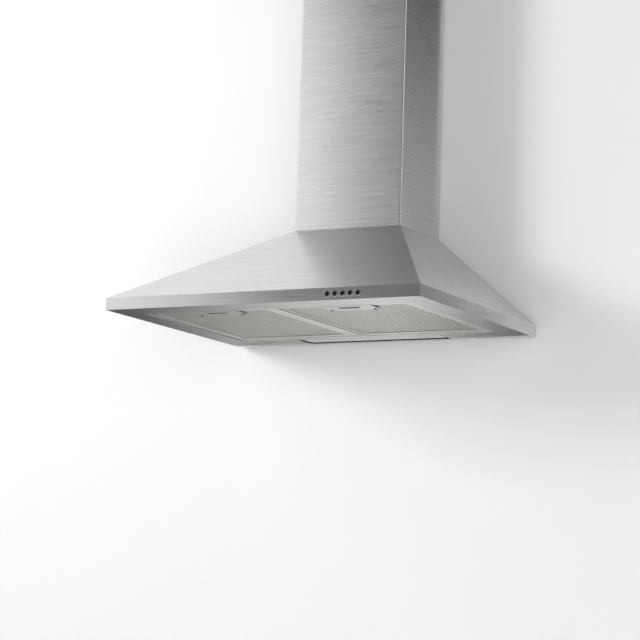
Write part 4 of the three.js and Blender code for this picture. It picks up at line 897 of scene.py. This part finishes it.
def oneSided(name, colour, pale=0.0):
    # seen from the front only, so that a view from behind or below looks through it;
    # where it is pale, the eye sees that much white there, whatever light falls on it
    material, tree = newTree(name)
    duller = tuple(part * 0.99 for part in colour)
    shade = shades(tree, noise(tree, coordinates(tree), 3.0), duller, colour)
    paint = add(tree, "ShaderNodeBsdfDiffuse", {"Color": shade})
    if pale:
        white = add(tree, "ShaderNodeEmission", {"Color": shade, "Strength": pale})
        seen = add(tree, "ShaderNodeLightPath").outputs["Is Camera Ray"]
        paint = add(tree, "ShaderNodeMixShader", {0: seen, 1: paint.outputs[0], 2: white.outputs[0]})
    clear = add(tree, "ShaderNodeBsdfTransparent")
    back = add(tree, "ShaderNodeNewGeometry").outputs["Backfacing"]
    mixed = add(tree, "ShaderNodeMixShader", {0: back, 1: paint.outputs[0], 2: clear.outputs[0]})
    add(tree, "ShaderNodeOutputMaterial", {"Surface": mixed.outputs[0]})
    return material


def addStage(name, work, material):
    mesh = bpy.data.meshes.new(name)
    work.to_mesh(mesh)
    work.free()
    mesh.materials.append(material)
    board = bpy.data.objects.new(name, mesh)
    scene.collection.objects.link(board)
    return board


def openBehind(wall, facts):
    # cuts an outline a little smaller than the hood's into the wall, and takes out what lies in it
    low, high, top = facts["opening"]
    run, rise = facts["slope"]
    cuts = [((0, 0, height), (0, 0, 1)) for height in facts["opening"]]
    for side in (-1, 1):
        cuts.append(((side * facts["rimHalf"], 0, low), (rise * side, 0, run)))
        cuts.append(((side * facts["chimneyHalf"], 0, high), (1, 0, 0)))
    for place, across in cuts:
        cutAt(wall, place, across, clear=False)
    behind = []
    for face in wall.faces:
        spot = face.calc_center_median()
        slopeHalf = facts["rimHalf"] - run / rise * (spot.z - low)
        canopyBack = low < spot.z < high and abs(spot.x) < slopeHalf
        chimneyBack = high < spot.z < top and abs(spot.x) < facts["chimneyHalf"]
        if canopyBack or chimneyBack:
            behind.append(face)
    bmesh.ops.delete(wall, geom=behind, context="FACES")


def makeStage(facts):
    reach, wallY, floorZ = facts["wallReach"], facts["wallY"], facts["floorZ"]
    wall = bmesh.new()
    bmesh.ops.create_grid(wall, x_segments=1, y_segments=1, size=reach)
    standUp(wall)
    bmesh.ops.translate(wall, vec=(0, wallY, reach + floorZ), verts=wall.verts[:])
    openBehind(wall, facts)
    addStage("stageWall", wall, oneSided("stagePaint", facts["colour"]))
    floor = bmesh.new()
    bmesh.ops.create_grid(floor, x_segments=1, y_segments=1, size=reach * 2)
    bmesh.ops.translate(floor, vec=(0, wallY - reach * 2, floorZ), verts=floor.verts[:])
    addStage("stageFloor", floor, oneSided("floorPaint", facts["colour"], facts["floorPale"]))


shadeCards = {
    # painted reflections: dark cards that only polished metal shows, their fade painting its reflections
    # darker: centre, size, axis and span of the fade, its two shades
    "lowerCard": ((-0.74, -0.02, -0.421), (1.52, 0.6), 0, (-0.52, 0.02), (0.06, 0.92)),
    "lowerRightCard": ((0.46, -0.02, -0.421), (0.88, 0.6), 0, (0.04, 0.27), (0.90, 0.25)),
    "rimCard": ((0.86, -0.012, 0.0), (1.08, 0.22), 0, (0.33, 0.56), (0.90, 0.11)),
    "chimneyCard": ((0.213, -0.004, 0.47), (0.2, 0.9), 2, (0.03, 0.60), (0.85, 0.16)),
    "aboveCard": ((-0.38, -1.30, 1.50), (1.14, 1.1), 0, (-0.95, -0.70), (0.3, 0.02)),
}


def makeShadeCard(name, place, size, axis, span, shade):
    material, tree = newTree(name + "Paint")
    spot = add(tree, "ShaderNodeSeparateXYZ", {0: coordinates(tree)})
    # the fade paints the metal's reflections from one shade to the other
    fade = ramp(tree, spot.outputs[axis], *span, *shade)
    paint = add(tree, "ShaderNodeBsdfDiffuse", {"Color": fade})
    add(tree, "ShaderNodeOutputMaterial", {"Surface": paint.outputs[0]})
    card = bmesh.new()
    bmesh.ops.create_grid(card, x_segments=1, y_segments=1, size=0.5)
    bmesh.ops.scale(card, vec=(*size, 1), verts=card.verts[:])
    standUp(card)
    bmesh.ops.translate(card, vec=place, verts=card.verts[:])
    board = addStage(name, card, material)
    board.visible_camera = False
    board.visible_diffuse = False
    board.visible_shadow = False


softboxes = {
    # name: (place, aim, width and height, watts, whether polished metal shows it)
    "chimneyBox": ((-0.95, -1.00, 0.50), (-0.95, 0.0, 0.50), (1.0, 0.80), 3.1, True),
    "slopeBox": ((-1.72, -1.30, 1.45), (-1.72, 0.0, 1.45), (1.4, 0.9), 3.6, True),
    "rimBox": ((-1.25, -1.55, -0.10), (-1.25, 0.0, -0.10), (1.2, 0.5), 2.4, True),
    "foldBox": ((2.3, -1.25, 0.92), (0.1, -0.17, 0.6), (0.35, 0.9), 3.0, True),
    "wallWash": ((-3.6, -3.8, 1.07), (0.0, 0.0, -0.3), (1.25, 1.25), 103.0, False),
    "fill": ((1.8, -3.6, -0.6), (0.5, 0.0, -0.4), (2.4, 2.4), 60.0, False),
    "back": ((0.6, 2.6, 0.9), (0.0, 0.0, 0.2), (1.6, 1.6), 60.0, True),
}


def addSoftbox(name, place, aim, size, energy, glossy):
    data = bpy.data.lights.new(name, "AREA")
    data.shape = "RECTANGLE"
    data.size, data.size_y = size
    data.energy = energy
    lamp = bpy.data.objects.new(name, data)
    lamp.visible_camera = False
    lamp.visible_glossy = glossy
    turn = (Vector(aim) - Vector(place)).to_track_quat("-Z", "Y").to_matrix().to_4x4()
    lamp.matrix_world = Matrix.Translation(place) @ turn
    scene.collection.objects.link(lamp)


backdrop = {"light": 0.15, "seen": 0.86}  # how strongly it lights the hood, and how pale the eye sees it


def makeWorld(facts):
    world = bpy.data.worlds.new("studioWorld")
    scene.world = world
    world.use_nodes = True
    tree = world.node_tree
    tree.nodes.clear()
    seen = add(tree, "ShaderNodeLightPath").outputs["Is Camera Ray"]
    strength = ramp(tree, seen, 0.0, 1.0, facts["light"], facts["seen"])
    light = add(tree, "ShaderNodeBackground", {"Color": (1, 1, 1, 1), "Strength": strength})
    add(tree, "ShaderNodeOutputWorld", {"Surface": light.outputs[0]})


makeStage(stageFacts)
for cardName, cardFacts in shadeCards.items():
    makeShadeCard(cardName, *cardFacts)
for boxName, boxFacts in softboxes.items():
    addSoftbox(boxName, *boxFacts)
makeWorld(backdrop)
scene.view_settings.view_transform = "Standard"
print("stage and lights placed")
